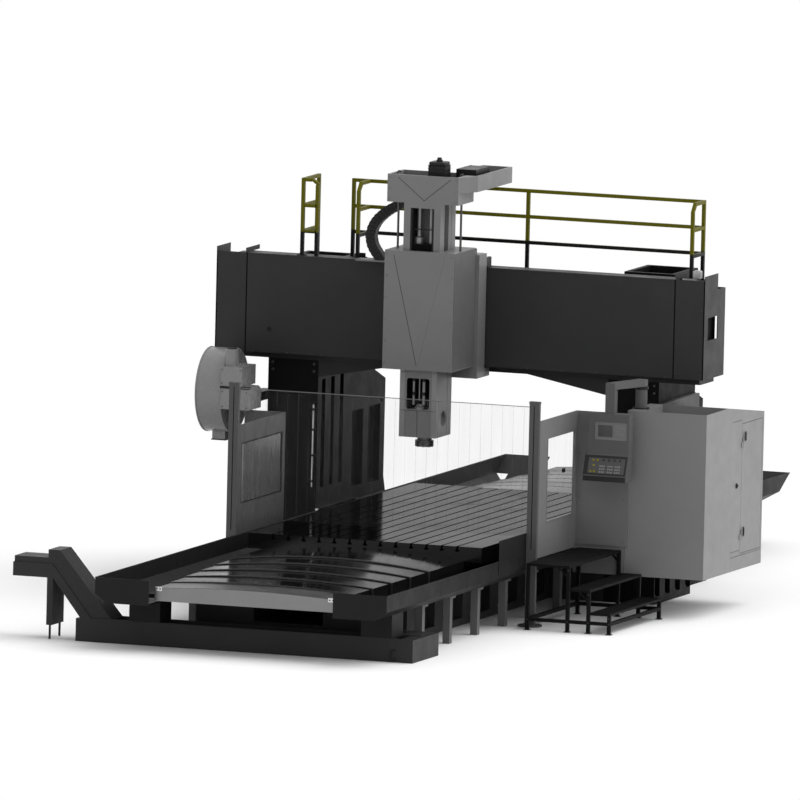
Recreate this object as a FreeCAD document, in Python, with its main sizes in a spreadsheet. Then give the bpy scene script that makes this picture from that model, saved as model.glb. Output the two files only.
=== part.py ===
import FreeCAD, Part
import os
import Sketcher

# Double column machining center: a moving table between two columns, with a crossbeam,
# a saddle and a ram. Millimetres. X runs along the crossbeam, Y runs away from the front
# end of the bed, Z is up. The origin is the middle of the bed, on the floor.

SIZES = {
    "slide_gap": 0.3, "clearance": 8,
    "bed_inset": 1715, "bed_width": 2380, "bed_height": 560, "way_width": 180,
    "way_spacing": 1500, "way_height": 140, "channel_width": 900, "channel_depth": 300,
    "bay_pitch": 1000, "bay_length": 720, "bay_depth": 110, "bay_bottom": 90, "bay_height": 380,
    "bay_count": 11,
    "table_length": 6000, "table_width": 3040, "table_top": 1000, "table_thickness": 190,
    "table_keel": 1800, "slot_pitch": 200, "slot_width": 28, "slot_depth": 66, "slot_foot": 54,
    "slot_foot_height": 24, "slot_count": 13,
    "trough_length": 14830, "trough_outside": 1885, "trough_inside": 1190, "trough_top": 890,
    "trough_bend": 690, "trough_toe": 1715, "trough_floor": 580, "trough_lip": 25,
    "trough_sheet": 8, "trough_rake": 600,
    "leg_pitch": 1000, "leg_first": 5550, "leg_count": 6, "rear_leg_first": 2450,
    "rear_leg_count": 4, "leg_place": 1650, "leg_width": 90,
    "pad_width": 200, "pad_thickness": 25,
    "cover_inset": 150, "cover_length": 1250, "cover_half": 1168, "cover_step": 25,
    "cover_corner": 785, "cover_rise": 8, "cover_crown": 40, "crown_rise": 11,
    "cover_sheet": 3, "cover_skirt": 630, "cover_back": 12, "shoe_inset": 20,
    "column_inside": 1900, "column_width": 660, "column_front": 445, "column_depth": 1350,
    "column_head": 4050, "left_head": 3960, "head_wall": 60, "head_depth": 350,
    "buttress_depth": 1110, "buttress_width": 380, "buttress_top": 2700,
    "buttress_shoulder": 2300, "flare_height": 1080, "flare_depth": 300, "flare_foot": 300,
    "flute_width": 430, "flute_depth": 90, "flute_lap": 100, "flute_pitch": 610,
    "flute_head": 2000, "inner_flute_sill": 1040, "outer_flute_sill": 150,
    "slot_window_place": 140,
    "slot_window_width": 130, "slot_window_pitch": 330, "slot_window_top": 2510,
    "slot_window_bottom": 1150, "slot_window_depth": 110,
    "foot_pocket_width": 190, "foot_pocket_height": 420, "foot_pocket_depth": 120,
    "foot_pocket_pitch": 378, "foot_pocket_place": 20, "foot_plate": 90, "anchor_radius": 25,
    "beam_half": 3100, "beam_bottom": 2760, "beam_top": 4010, "beam_depth": 485,
    "haunch_start": 830, "haunch_drop": 206,
    "cover_front": 245, "front_bottom": 2840, "front_top": 4070, "front_sheet": 8,
    "end_lap": 290, "end_wall": 100, "end_depth": 760, "end_rear_depth": 280,
    "end_top": 4125, "end_step": 200, "end_window": 280,
    "rail_height": 60, "rail_depth": 50, "rail_margin": 5, "flange_lap": 60,
    "end_window_place": 130, "end_window_rise": 480, "end_window_length": 370,
    "saddle_rest": -145, "saddle_width": 906, "saddle_front": 865, "saddle_bottom": 2872,
    "saddle_top": 4343, "saddle_depth": 800, "back_plate_bottom": 2720, "back_plate_width": 1000,
    "back_plate_thickness": 270, "back_plate_drop": 90, "ram_width": 480, "ram_depth": 550, "ram_front": 795,
    "ram_bottom": 2036, "ram_window_width": 308, "window_sill": 2377, "window_head": 2771,
    "window_inside": 200, "bay_sill": 4132, "bay_head": 60, "bay_inside": 260, "side_slot_place": 150,
    "hand_hole_radius": 95, "hand_hole_depth": 50, "hand_hole_place": 270,
    "hand_hole_height": 220, "spindle_seat": 150,
    "yoke_bottom": 4932, "yoke_height": 344, "yoke_width": 930, "yoke_wall": 30,
    "yoke_depth": 560, "yoke_arm_inside": 215, "yoke_arm_outside": 605, "yoke_arm_end": 770,
    "yoke_arm_height": 196, "yoke_arm_lap": 250,
    "spindle_radius": 90, "nose_radius": 115, "nose_height": 75, "nose_bottom": 1903,
    "tool_bore": 35, "tool_bore_depth": 60,
    "rod_radius": 14, "rod_place": 410, "rod_depth": 500, "rod_bore_depth": 1150,
    "motor_side": 220, "motor_height": 390, "motor_place": 90, "motor_cap_radius": 36,
    "motor_cap_height": 60,
    "post_place": 1958, "post_width": 126, "post_depth": 60, "post_front": 2435,
    "post_height": 2740, "post_base_radius": 150, "post_base": 20, "post_brim": 4, "post_cap": 30,
    "glass_bottom": 1100, "glass_top": 2700, "glass_sheet": 10,
    "splash_start": 3400, "splash_bottom": 730, "splash_top": 1150, "splash_sheet": 6,
    "guard_place": 1985, "guard_sheet": 30, "guard_front": 2245, "guard_back": 895,
    "guard_bottom": 825, "guard_top": 2510, "guard_border": 80, "guard_stile": 270,
    "guard_sill": 430, "guard_head": 240, "pane_sheet": 8, "left_guard_top": 2215,
    "left_guard_back": 585, "left_return": 500, "panel_lap": 40,
    "cabinet_left": 2620, "cabinet_width": 1030, "cabinet_front": 865, "cabinet_depth": 2150,
    "cabinet_bottom": 507, "cabinet_top": 2550, "cabinet_flat": 840, "cabinet_fall": 160,
    "door_thickness": 22, "door_gap": 6, "door_width": 740, "door_back": 60, "door_foot": 200,
    "door_head": 240, "cabinet_cavity": 420, "well_place": 170, "well_wall": 12, "well_depth": 150,
    "door_lap": 40, "mount_inset": 50,
    "hinge_radius": 10, "hinge_reach": 5, "hinge_knuckle": 60, "hinge_place": 230, "hinge_gap": 3,
    "conveyor_left": 2390, "conveyor_right": 1975, "conveyor_place": 720,
    "conveyor_depth": 930, "conveyor_height": 280, "conveyor_sheet": 10,
    "conveyor_floor": 40, "channel_end": 185, "tank_left": 1190, "head_end": 3220,
    "head_start": 2710, "head_top": 924, "head_bottom": 753, "lift_foot": 2190, "lift_width": 410,
    "lift_thickness": 140, "lift_inset": 14, "hood_foot": 1925, "hood_start": 2620,
    "hood_length": 149, "hood_top": 1096, "lid_top": 998, "lift_leg_height": 580,
    "lift_leg_width": 75, "lift_pin_place": 35, "lift_pin_radius": 14,
    "chute_place": 1500, "chute_width": 400,
    "drum_left": 3040, "drum_right": 2706, "drum_radius": 520, "drum_front": 350,
    "drum_height": 2421, "housing_front": 870, "housing_depth": 500, "housing_right": 2430,
    "housing_top": 2765, "drum_motor_place": 2626, "drum_motor_front": 700,
    "drum_motor_radius": 82, "drum_motor_height": 210, "foot_side": 170, "foot_bottom": 1800,
    "bracket_height": 110, "bracket_reach": 220, "changer_right": 2330, "changer_depth": 440,
    "changer_top": 2524, "changer_bottom": 2240, "changer_chamfer": 50,
    "console_x": 2700, "console_y": 600, "console_post_radius": 72, "console_post_top": 2830,
    "console_left": 2230, "console_width": 530, "console_front": 1200, "console_depth": 150,
    "console_bottom": 2030, "console_height": 500, "console_arm": 80, "console_arm_width": 120,
    "neck_lap": 130, "neck_depth": 110, "shelf_height": 330, "shelf_reach": 90, "shelf_lip": 80,
    "shelf_overhang": 30,
    "deck_left": 2021, "deck_width": 564, "step_width": 270, "step_rise": 280, "deck_top": 820,
    "deck_front": 2765, "deck_back": 885, "deck_sheet": 30, "angle_width": 42, "brace_bottom": 110,
    "rail_tube": 42, "rail_inset": 30, "rail_top": 5000, "rail_gap": 320, "railing_left": 1647,
    "railing_middle": 642, "railing_right": 2937, "return_left": 1435, "return_length": 407,
    "return_drop": 110, "guard_ladder": 2110, "ladder_inset": 60, "ladder_rise": 30,
    "chain_foot": 985, "chain_radius": 455, "chain_thickness": 90, "chain_width": 120,
    "chain_straight": 400, "chain_rise": 90, "chain_front": 40, "chain_tray": 20,
    "tray_length": 650, "tray_width": 180, "tray_front": 10,
    "drive_length": 500, "drive_width": 260, "drive_height": 220, "drive_place": 220,
    "seal_width": 40, "seal_height": 30,
}


class Size:
    """A length that carries its number together with the sheet formula that gives it."""

    def __init__(self, number, formula):
        self.number = number
        self.formula = formula

    def combine(self, other, sign, swapped=False):
        other = as_size(other)
        first, second = (other, self) if swapped else (self, other)
        numbers = {
            "+": lambda a, b: a + b, "-": lambda a, b: a - b,
            "*": lambda a, b: a * b, "/": lambda a, b: a / b,
        }
        number = numbers[sign](first.number, second.number)
        return Size(number, "(%s %s %s)" % (first.formula, sign, second.formula))

    def __add__(self, other):
        return self.combine(other, "+")

    def __radd__(self, other):
        return self.combine(other, "+", True)

    def __sub__(self, other):
        return self.combine(other, "-")

    def __rsub__(self, other):
        return self.combine(other, "-", True)

    def __mul__(self, other):
        return self.combine(other, "*")

    def __rmul__(self, other):
        return self.combine(other, "*", True)

    def __truediv__(self, other):
        return self.combine(other, "/")

    def __neg__(self):
        return Size(-self.number, "(-%s)" % self.formula)


def as_size(value):
    return value if isinstance(value, Size) else Size(float(value), repr(value))


doc = FreeCAD.newDocument("double_column_machining_center")
sheet = doc.addObject("Spreadsheet::Sheet", "Dimensions")


class Dimensions:
    """The driving dimensions, one attribute for each row of the sheet."""


d = Dimensions()
for row, (alias, value) in enumerate(SIZES.items(), start=1):
    sheet.set("A%d" % row, str(value))
    sheet.setAlias("A%d" % row, alias)
    setattr(d, alias, Size(value, "Dimensions." + alias))
doc.recompute()

bodies = []


def body(label, place_x=None):
    """One sub-part: a body with its own label, moved along X where it rides off centre."""
    made = doc.addObject("PartDesign::Body", label)
    made.Label = label
    made.AllowCompound = True
    if place_x is not None:
        made.setExpression("Placement.Base.x", place_x.formula)
    bodies.append(made)
    return made


def bind(feature, **formulas):
    for name, size in formulas.items():
        feature.setExpression(name.replace("_at_", ".Base."), as_size(size).formula)


def block(part, x, y, z, cut=False):
    """A box from the low to the high value of each pair, added to the body or cut from it."""
    kind = "PartDesign::SubtractiveBox" if cut else "PartDesign::AdditiveBox"
    made = part.newObject(kind, "Cutout" if cut else "Block")
    lows = [as_size(pair[0]) for pair in (x, y, z)]
    highs = [as_size(pair[1]) for pair in (x, y, z)]
    spans = [high - low for low, high in zip(lows, highs)]
    bind(made, Length=spans[0], Width=spans[1], Height=spans[2])
    bind(made, Placement_at_x=lows[0], Placement_at_y=lows[1], Placement_at_z=lows[2])
    return made


def opening(part, x, y, z):
    return block(part, x, y, z, cut=True)


AXES = {
    "X": FreeCAD.Rotation(FreeCAD.Vector(0, 1, 0), 90),
    "Y": FreeCAD.Rotation(FreeCAD.Vector(1, 0, 0), -90),
    "Z": FreeCAD.Rotation(),
}


def round_bar(part, axis, start, radius, length, cut=False):
    """A cylinder that starts at a point and runs along one axis, added or cut."""
    kind = "PartDesign::SubtractiveCylinder" if cut else "PartDesign::AdditiveCylinder"
    made = part.newObject(kind, "Bore" if cut else "Bar")
    made.Placement = FreeCAD.Placement(FreeCAD.Vector(), AXES[axis])
    bind(made, Radius=radius, Height=length)
    bind(made, Placement_at_x=start[0], Placement_at_y=start[1], Placement_at_z=start[2])
    return made


def section(part, plane, points, at):
    """A closed outline on a plane. A third value at a point crowns the side that leaves it."""
    sketch = part.newObject("Sketcher::SketchObject", "Section")
    roles = [item for item in part.Origin.OriginFeatures if item.Role == plane + "_Plane"]
    sketch.AttachmentSupport = [(roles[0], "")]
    sketch.MapMode = "FlatFace"
    bind(sketch, AttachmentOffset_at_z=at)
    corners = [tuple(as_size(value) for value in point) for point in points]
    flat = [FreeCAD.Vector(corner[0].number, corner[1].number, 0) for corner in corners]
    crowned = {}
    for index, corner in enumerate(corners):
        start = flat[index]
        end = flat[(index + 1) % len(flat)]
        if len(corner) == 3:
            chord = end - start
            outward = FreeCAD.Vector(chord.y, -chord.x, 0).normalize()
            middle = (start + end) * 0.5 + outward * corner[2].number
            sketch.addGeometry(Part.Arc(start, middle, end))
            crowned[index] = corner[2]
        else:
            sketch.addGeometry(Part.LineSegment(start, end))
    # An arc's own start point may be at either end, so both ends are looked up by place.
    geometry = sketch.Geometry

    def end_of(index, vertex):
        curve = geometry[index]
        return 1 if curve.StartPoint.distanceToPoint(vertex) < 0.01 else 2

    count = len(flat)
    for index in range(count):
        before = (index - 1) % count
        sketch.addConstraint(Sketcher.Constraint(
            "Coincident", before, end_of(before, flat[index]), index, end_of(index, flat[index])))
        for kind, size in zip(("DistanceX", "DistanceY"), corners[index][:2]):
            number = sketch.addConstraint(Sketcher.Constraint(
                kind, -1, 1, index, end_of(index, flat[index]), size.number))
            sketch.setExpression("Constraints[%d]" % number, size.formula)
    for index, crown in crowned.items():
        first, second = corners[index], corners[(index + 1) % count]
        along = 1 if abs(second[0].number - first[0].number) < 0.01 else 0
        half = (second[along] - first[along]) / 2
        crown = -crown if crown.number < 0 else crown
        radius = (half * half + crown * crown) / (2 * crown)
        number = sketch.addConstraint(Sketcher.Constraint("Radius", index, radius.number))
        sketch.setExpression("Constraints[%d]" % number, radius.formula)
    return sketch


def prism(part, plane, points, low, high, cut=False):
    """An outline carried along its plane's axis from low to high, added or cut."""
    start = -as_size(high) if plane == "XZ" else as_size(low)
    outline = section(part, plane, points, start)
    kind = "PartDesign::Pocket" if cut else "PartDesign::Pad"
    made = part.newObject(kind, "Pocket" if cut else "Pad")
    made.Profile = outline
    if cut:
        made.Reversed = True
    bind(made, Length=as_size(high) - as_size(low))
    return made


def repeat(part, feature, role, pitch, count):
    """Copies of a feature along one of the body's axes, at a pitch."""
    pattern = part.newObject("PartDesign::LinearPattern", "Row")
    pattern.Originals = [feature]
    axis = [item for item in part.Origin.OriginFeatures if item.Role == role + "_Axis"][0]
    pattern.Direction = (axis, [""])
    bind(pattern, Length=as_size(pitch) * (as_size(count) - 1), Occurrences=count)
    part.Tip = pattern
    return pattern


def side(sign, near, far):
    """A pair of places on the right side, or mirrored onto the left side."""
    return (near, far) if sign > 0 else (-as_size(far), -as_size(near))


def mirrored(sign, points):
    """An outline of the right side, or turned over for the left side."""
    if sign > 0:
        return points
    return [(-as_size(point[0]),) + tuple(point[1:]) for point in reversed(points)]


# Places that several pieces share.
column_outside = d.column_inside + d.column_width
column_back = d.column_front + d.column_depth
way_top = d.bed_height + d.way_height
table_under = way_top + d.slide_gap
end_front = -d.trough_length / 2
cover_end = -end_front - d.cover_inset
cover_steps = 5
widest_cover = d.cover_half + d.cover_step * cover_steps
conveyor_front = end_front + d.conveyor_place
bed_length = d.trough_length - 2 * d.bed_inset
beam_back = d.column_front + d.beam_depth
front_half = d.beam_half - d.end_lap
end_half = d.beam_half + d.end_wall
rod_y = -d.ram_front + d.ram_depth / 2


def make_bed():
    """Cast bed: a deep box with two box ways, a screw channel and core openings in its sides."""
    bed = body("bed")
    half = d.bed_width / 2
    inner = (d.way_spacing - d.way_width) / 2
    outer = (d.way_spacing + d.way_width) / 2
    channel = d.channel_width / 2
    floor = d.bed_height - d.channel_depth
    prism(bed, "XZ", [
        (-half, 0), (half, 0), (half, d.bed_height), (outer, d.bed_height), (outer, way_top),
        (inner, way_top), (inner, d.bed_height), (channel, d.bed_height), (channel, floor),
        (-channel, floor), (-channel, d.bed_height), (-inner, d.bed_height), (-inner, way_top),
        (-outer, way_top), (-outer, d.bed_height), (-half, d.bed_height),
    ], -bed_length / 2, bed_length / 2)
    for sign in (1, -1):
        bay = opening(bed, side(sign, half - d.bay_depth, half + 1),
                      (-bed_length / 2 + d.bay_pitch / 4,
                       -bed_length / 2 + d.bay_pitch / 4 + d.bay_length),
                      (d.bay_bottom, d.bay_bottom + d.bay_height))
        repeat(bed, bay, "Y", d.bay_pitch, d.bay_count)
    for sign in (1, -1):
        block(bed, side(sign, half - d.bay_depth, d.column_inside),
              (d.column_front, column_back), (0, d.trough_floor))


def make_trough(sign, name):
    """Folded sheet channel along the bed: low inner lip, flat floor, flared outer wall."""
    trough = body(name)
    sheet_wall = d.trough_sheet
    prism(trough, "XZ", mirrored(sign, [
        (d.trough_inside, d.trough_floor), (d.trough_toe, d.trough_floor),
        (d.trough_outside, d.trough_bend), (d.trough_outside, d.trough_top),
        (d.trough_outside - sheet_wall, d.trough_top),
        (d.trough_outside - sheet_wall, d.trough_bend + sheet_wall / 2),
        (d.trough_toe - sheet_wall / 2, d.trough_floor + sheet_wall),
        (d.trough_inside + sheet_wall, d.trough_floor + sheet_wall),
        (d.trough_inside + sheet_wall, d.trough_floor + d.trough_lip),
        (d.trough_inside, d.trough_floor + d.trough_lip),
    ]), end_front, -end_front)
    end_shape = mirrored(sign, [
        (d.trough_inside, d.trough_floor), (d.trough_toe, d.trough_floor),
        (d.trough_outside, d.trough_bend), (d.trough_outside, d.trough_top),
        (d.trough_inside, d.trough_top),
    ])
    prism(trough, "XZ", end_shape, end_front, end_front + sheet_wall)
    chute_x = side(sign, d.chute_place - d.chute_width / 2, d.chute_place + d.chute_width / 2)
    chute_y = (conveyor_front, conveyor_front + d.chute_width)
    block(trough, chute_x, chute_y, (d.conveyor_height, d.trough_floor))
    opening(trough, (chute_x[0] + sheet_wall, chute_x[1] - sheet_wall),
            (chute_y[0] + sheet_wall, chute_y[1] - sheet_wall),
            (d.conveyor_height - 1, d.trough_floor + sheet_wall + 1))
    rake = d.trough_rake
    prism(trough, "YZ", [
        (-end_front - rake, d.trough_floor - 1), (-end_front + 1, d.trough_floor - 1),
        (-end_front + 1, d.trough_top), (-end_front, d.trough_top),
    ], *side(sign, d.trough_inside - 1, d.trough_outside + 1), cut=True)
    prism(trough, "YZ", [
        (-end_front - rake, d.trough_floor), (-end_front, d.trough_top),
        (-end_front - sheet_wall * 2, d.trough_top), (-end_front - rake - sheet_wall * 2, d.trough_floor),
    ], *side(sign, widest_cover + d.clearance, d.trough_toe))


def add_trough_legs(legs, sign, first, count):
    half = d.leg_width / 2
    post = block(legs, side(sign, d.leg_place - half, d.leg_place + half),
                 (first - half, first + half), (0, d.trough_floor - d.pad_thickness))
    repeat(legs, post, "Y", d.leg_pitch, count)
    reach = d.pad_width / 2
    pad = block(legs, side(sign, d.leg_place - reach, d.trough_toe),
                (first - reach, first + reach),
                (d.trough_floor - d.pad_thickness, d.trough_floor))
    repeat(legs, pad, "Y", d.leg_pitch, count)


def make_trough_legs():
    """Square legs with a spreader plate, one each metre under each trough's floor."""
    legs = body("trough_legs")
    for sign in (1, -1):
        add_trough_legs(legs, sign, -d.leg_first, d.leg_count)
        add_trough_legs(legs, sign, d.rear_leg_first, d.rear_leg_count)


def make_table():
    """Work table: T-slotted plate on a narrower keel that runs on the box ways."""
    table = body("table")
    half = d.table_width / 2
    keel = d.table_keel / 2
    under = d.table_top - d.table_thickness
    prism(table, "XZ", [
        (-keel, table_under), (keel, table_under), (keel, under), (half, under),
        (half, d.table_top), (-half, d.table_top), (-half, under), (-keel, under),
    ], -d.table_length / 2, d.table_length / 2)
    first = -d.slot_pitch * (d.slot_count - 1) / 2
    throat = d.slot_width / 2
    foot = d.slot_foot / 2
    ledge = d.table_top - d.slot_depth + d.slot_foot_height
    slot = prism(table, "XZ", [
        (first - foot, d.table_top - d.slot_depth), (first + foot, d.table_top - d.slot_depth),
        (first + foot, ledge), (first + throat, ledge), (first + throat, d.table_top),
        (first - throat, d.table_top), (first - throat, ledge), (first - foot, ledge),
    ], -d.table_length / 2, d.table_length / 2, cut=True)
    repeat(table, slot, "X", d.slot_pitch, d.slot_count)


def cover_outline(half, corner, crown, bottom):
    return [(-half, bottom), (half, bottom), (half, corner, crown), (-half, corner)]


def make_cover(sign, index, name):
    """One crowned box of the telescopic way cover, smaller the farther it is from the table."""
    cover = body(name)
    outer_half = d.cover_half + d.cover_step * index
    outer_corner = d.cover_corner + d.cover_rise * index
    outer_crown = d.cover_crown + d.crown_rise * index
    gap = cover_end - d.table_length / 2
    start = cover_end - (gap - d.cover_length) * index / cover_steps
    far, near = -start, -start + d.cover_length
    low, high = (far, near) if sign < 0 else (-near, -far)
    prism(cover, "XZ", cover_outline(outer_half, outer_corner, outer_crown, d.cover_skirt),
          low, high)
    inner = cover_outline(outer_half - d.cover_sheet, outer_corner - d.cover_sheet,
                          outer_crown, d.cover_skirt - 1)
    outer_wall = d.cover_back if index == 0 else -1
    if sign < 0:
        prism(cover, "XZ", inner, low + outer_wall, high - d.cover_back, cut=True)
    else:
        prism(cover, "XZ", inner, low + d.cover_back, high - outer_wall, cut=True)
    shoe_half = d.way_width / 2 - d.shoe_inset
    plate = (high - d.cover_back, high) if sign < 0 else (low, low + d.cover_back)
    middle = d.way_spacing / 2
    opening(cover, (-middle - d.way_width, middle + d.way_width), (plate[0] - 1, plate[1] + 1),
            (d.cover_skirt - 1, way_top + d.clearance))
    for shoe in (middle, -middle):
        block(cover, (shoe - shoe_half, shoe + shoe_half), plate,
              (way_top + d.slide_gap, way_top + d.clearance))


def add_cover_support(support, sign):
    middle = d.way_spacing / 2
    reach = d.way_width / 2
    outer = cover_end - d.cover_back - d.clearance
    low, high = (-outer, -bed_length / 2) if sign < 0 else (bed_length / 2, outer)
    for place in (middle, -middle):
        block(support, (place - reach, place + reach), (low, high), (d.cover_skirt, way_top))


def make_cover_supports():
    """Beams that carry the outer ends of the way covers past the ends of the bed."""
    support = body("cover_supports")
    for sign in (1, -1):
        add_cover_support(support, sign)


def make_column(sign, name):
    """Cast column: box shaft, open head behind the crossbeam, fluted buttress, anchor pockets."""
    column = body(name)
    shaft_x = side(sign, d.column_inside, column_outside)
    block(column, shaft_x, (d.column_front, column_back), (0, d.beam_bottom))
    head = d.column_head if sign > 0 else d.left_head
    wall = d.head_wall
    block(column, shaft_x, (beam_back, column_back), (d.beam_bottom, head))
    opening(column, side(sign, d.column_inside + wall, column_outside - wall),
            (beam_back + wall, column_back - wall), (head - d.head_depth, head + 1))
    buttress_back = column_back + d.buttress_depth
    prism(column, "YZ", [
        (column_back, 0), (buttress_back + d.flare_depth, 0),
        (buttress_back + d.flare_depth, d.flare_foot), (buttress_back, d.flare_height),
        (buttress_back, d.buttress_shoulder), (column_back, d.buttress_top),
    ], *side(sign, d.column_inside, d.column_inside + d.buttress_width))
    for flute in (0, 1):
        start = column_back - d.flute_lap + flute * d.flute_pitch
        end = start + d.flute_width
        opening(column, side(sign, d.column_inside - 1, d.column_inside + d.flute_depth),
                (start, end), (d.inner_flute_sill, d.flute_head))
        if flute:
            opening(column, side(sign, d.column_inside + d.buttress_width - d.flute_depth,
                                 d.column_inside + d.buttress_width + 1),
                    (start, end), (d.outer_flute_sill, d.flute_head))
    window_y = d.column_front + d.slot_window_place
    window = opening(column, side(sign, d.column_inside - 1, d.column_inside + d.slot_window_depth),
                     (window_y, window_y + d.slot_window_width),
                     (d.slot_window_bottom, d.slot_window_top))
    repeat(column, window, "Y", d.slot_window_pitch, 3)
    pocket = opening(column, side(sign, column_outside - d.foot_pocket_depth, column_outside + 1),
                     (d.column_front + d.foot_pocket_place,
                      d.column_front + d.foot_pocket_place + d.foot_pocket_width),
                     (d.foot_plate, d.foot_plate + d.foot_pocket_height))
    repeat(column, pocket, "Y", d.foot_pocket_pitch, 4)
    anchor_x = column_outside - d.foot_pocket_depth / 2
    anchor_y = d.column_front + d.foot_pocket_place + d.foot_pocket_width / 2
    anchor = round_bar(column, "Z", (sign * anchor_x, anchor_y, 0), d.anchor_radius, d.foot_plate,
                       cut=True)
    repeat(column, anchor, "Y", d.foot_pocket_pitch, 4)


def make_crossbeam():
    """Cast crossbeam between and in front of the columns, with haunches under it."""
    beam = body("crossbeam")
    haunch = d.beam_bottom - d.haunch_drop
    prism(beam, "XZ", [
        (-d.beam_half, d.beam_bottom), (-d.haunch_start, d.beam_bottom),
        (d.haunch_start, d.beam_bottom), (d.beam_half, d.beam_bottom),
        (d.beam_half, d.beam_top), (-d.beam_half, d.beam_top),
    ], d.column_front, beam_back)
    for sign in (1, -1):
        prism(beam, "XZ", mirrored(sign, [
            (d.haunch_start, d.beam_bottom), (d.column_inside, haunch),
            (d.column_inside, d.beam_bottom),
        ]), d.column_front, beam_back)


def make_beam_rails():
    """Upper and lower guide rails on the front of the crossbeam."""
    rails = body("beam_guide_rails")
    for low in (d.beam_bottom + d.rail_margin, d.beam_top - d.rail_margin - d.rail_height):
        block(rails, (-d.beam_half, d.beam_half), (d.column_front - d.rail_depth, d.column_front),
              (low, low + d.rail_height))


def make_beam_cover():
    """Sheet cover in front of the crossbeam, with a folded top flange back to the deck."""
    cover = body("crossbeam_cover")
    front = d.cover_front
    block(cover, (-front_half, front_half), (front, front + d.front_sheet),
          (d.front_bottom, d.front_top))
    back = d.column_front + d.flange_lap
    block(cover, (-front_half, front_half), (front, back),
          (d.front_top - d.front_sheet, d.front_top))
    block(cover, (-front_half, front_half), (back - d.front_sheet, back),
          (d.beam_top, d.front_top - d.front_sheet))


def make_beam_end(sign, name):
    """End box of the crossbeam: stepped side plates, front, floor and a square cable opening."""
    end = body(name)
    front = d.cover_front
    lowest = d.front_bottom
    shape = [
        (front, lowest), (front + d.end_depth, lowest),
        (front + d.end_depth, d.end_top - d.end_step),
        (front + d.end_depth - d.end_rear_depth, d.end_top - d.end_step),
        (front + d.end_depth - d.end_rear_depth, d.end_top), (front, d.end_top),
    ]
    prism(end, "YZ", shape, *side(sign, end_half - d.front_sheet, end_half))
    rail_front = d.column_front - d.rail_depth - d.clearance
    step = front + d.end_depth - d.end_rear_depth
    prism(end, "YZ", [
        (front, lowest), (rail_front, lowest), (rail_front, d.front_top), (step, d.front_top),
        (step, d.end_top), (front, d.end_top),
    ], *side(sign, front_half, front_half + d.front_sheet))
    block(end, side(sign, front_half, end_half), (front, front + d.front_sheet),
          (lowest, d.front_top))
    block(end, side(sign, d.beam_half, end_half), (front, front + d.end_depth),
          (lowest, lowest + d.front_sheet))
    block(end, side(sign, d.beam_half, end_half),
          (front + d.end_depth - d.front_sheet, front + d.end_depth),
          (lowest, d.end_top - d.end_step))
    window_low = d.front_bottom + d.end_window_rise
    opening(end, side(sign, end_half - d.front_sheet - 1, end_half + 1),
            (front + d.end_window_place, front + d.end_window_place + d.end_window_length),
            (window_low, window_low + d.end_window))


def make_saddle():
    """Saddle: box round the ram in front of a back plate that hooks under the beam cover."""
    saddle = body("saddle", d.saddle_rest)
    half = d.saddle_width / 2
    front = -d.saddle_front
    box_back = front + d.saddle_depth
    block(saddle, (-half, half), (front, box_back), (d.saddle_bottom, d.saddle_top))
    plate_half = d.back_plate_width / 2
    plate_back = box_back + d.back_plate_thickness
    block(saddle, (-plate_half, plate_half), (box_back, plate_back),
          (d.back_plate_bottom, d.saddle_top - d.back_plate_drop))
    block(saddle, (-plate_half, plate_half), (plate_back, d.column_front - d.rail_depth - d.slide_gap),
          (d.back_plate_bottom, d.beam_bottom + d.rail_margin + d.rail_height))
    hole = d.ram_width / 2 + d.slide_gap
    opening(saddle, (-hole, hole),
            (-d.ram_front - d.slide_gap, -d.ram_front + d.ram_depth + d.slide_gap),
            (d.back_plate_bottom, d.saddle_top + 1))
    for place in (d.rod_place, -d.rod_place):
        round_bar(saddle, "Z", (place, rod_y, d.saddle_top - d.rod_bore_depth),
                  d.rod_radius + d.clearance, d.rod_bore_depth + 1, cut=True)


def make_ram():
    """Ram: square cast column with an open front bay above and a window near its foot."""
    ram = body("ram", d.saddle_rest)
    half = d.ram_width / 2
    front = -d.ram_front
    back = front + d.ram_depth
    block(ram, (-half, half), (front, back), (d.ram_bottom, d.yoke_bottom))
    window = d.ram_window_width / 2
    opening(ram, (-window, window), (front - 1, front + d.bay_inside),
            (d.bay_sill, d.yoke_bottom - d.bay_head))
    opening(ram, (-window, window), (front - 1, front + d.window_inside),
            (d.window_sill, d.window_head))
    opening(ram, (half - d.bay_head, half + 1),
            (front + d.side_slot_place, front + d.side_slot_place * 2), (d.bay_sill, d.yoke_bottom))
    round_bar(ram, "X", (half - d.hand_hole_depth, front + d.hand_hole_place,
                         d.ram_bottom + d.hand_hole_height),
              d.hand_hole_radius, d.hand_hole_depth + 1, cut=True)
    round_bar(ram, "Z", (0, rod_y, d.ram_bottom), d.spindle_radius + d.slide_gap,
              d.spindle_seat, cut=True)


def make_spindle():
    """Spindle nose: flanged ring under the ram with the tool bore in it."""
    spindle = body("spindle", d.saddle_rest)
    round_bar(spindle, "Z", (0, rod_y, d.nose_bottom), d.nose_radius, d.nose_height)
    round_bar(spindle, "Z", (0, rod_y, d.nose_bottom + d.nose_height), d.spindle_radius,
              d.ram_bottom - d.nose_bottom - d.nose_height + d.spindle_seat - 5)
    round_bar(spindle, "Z", (0, rod_y, d.nose_bottom), d.tool_bore, d.tool_bore_depth, cut=True)


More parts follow.
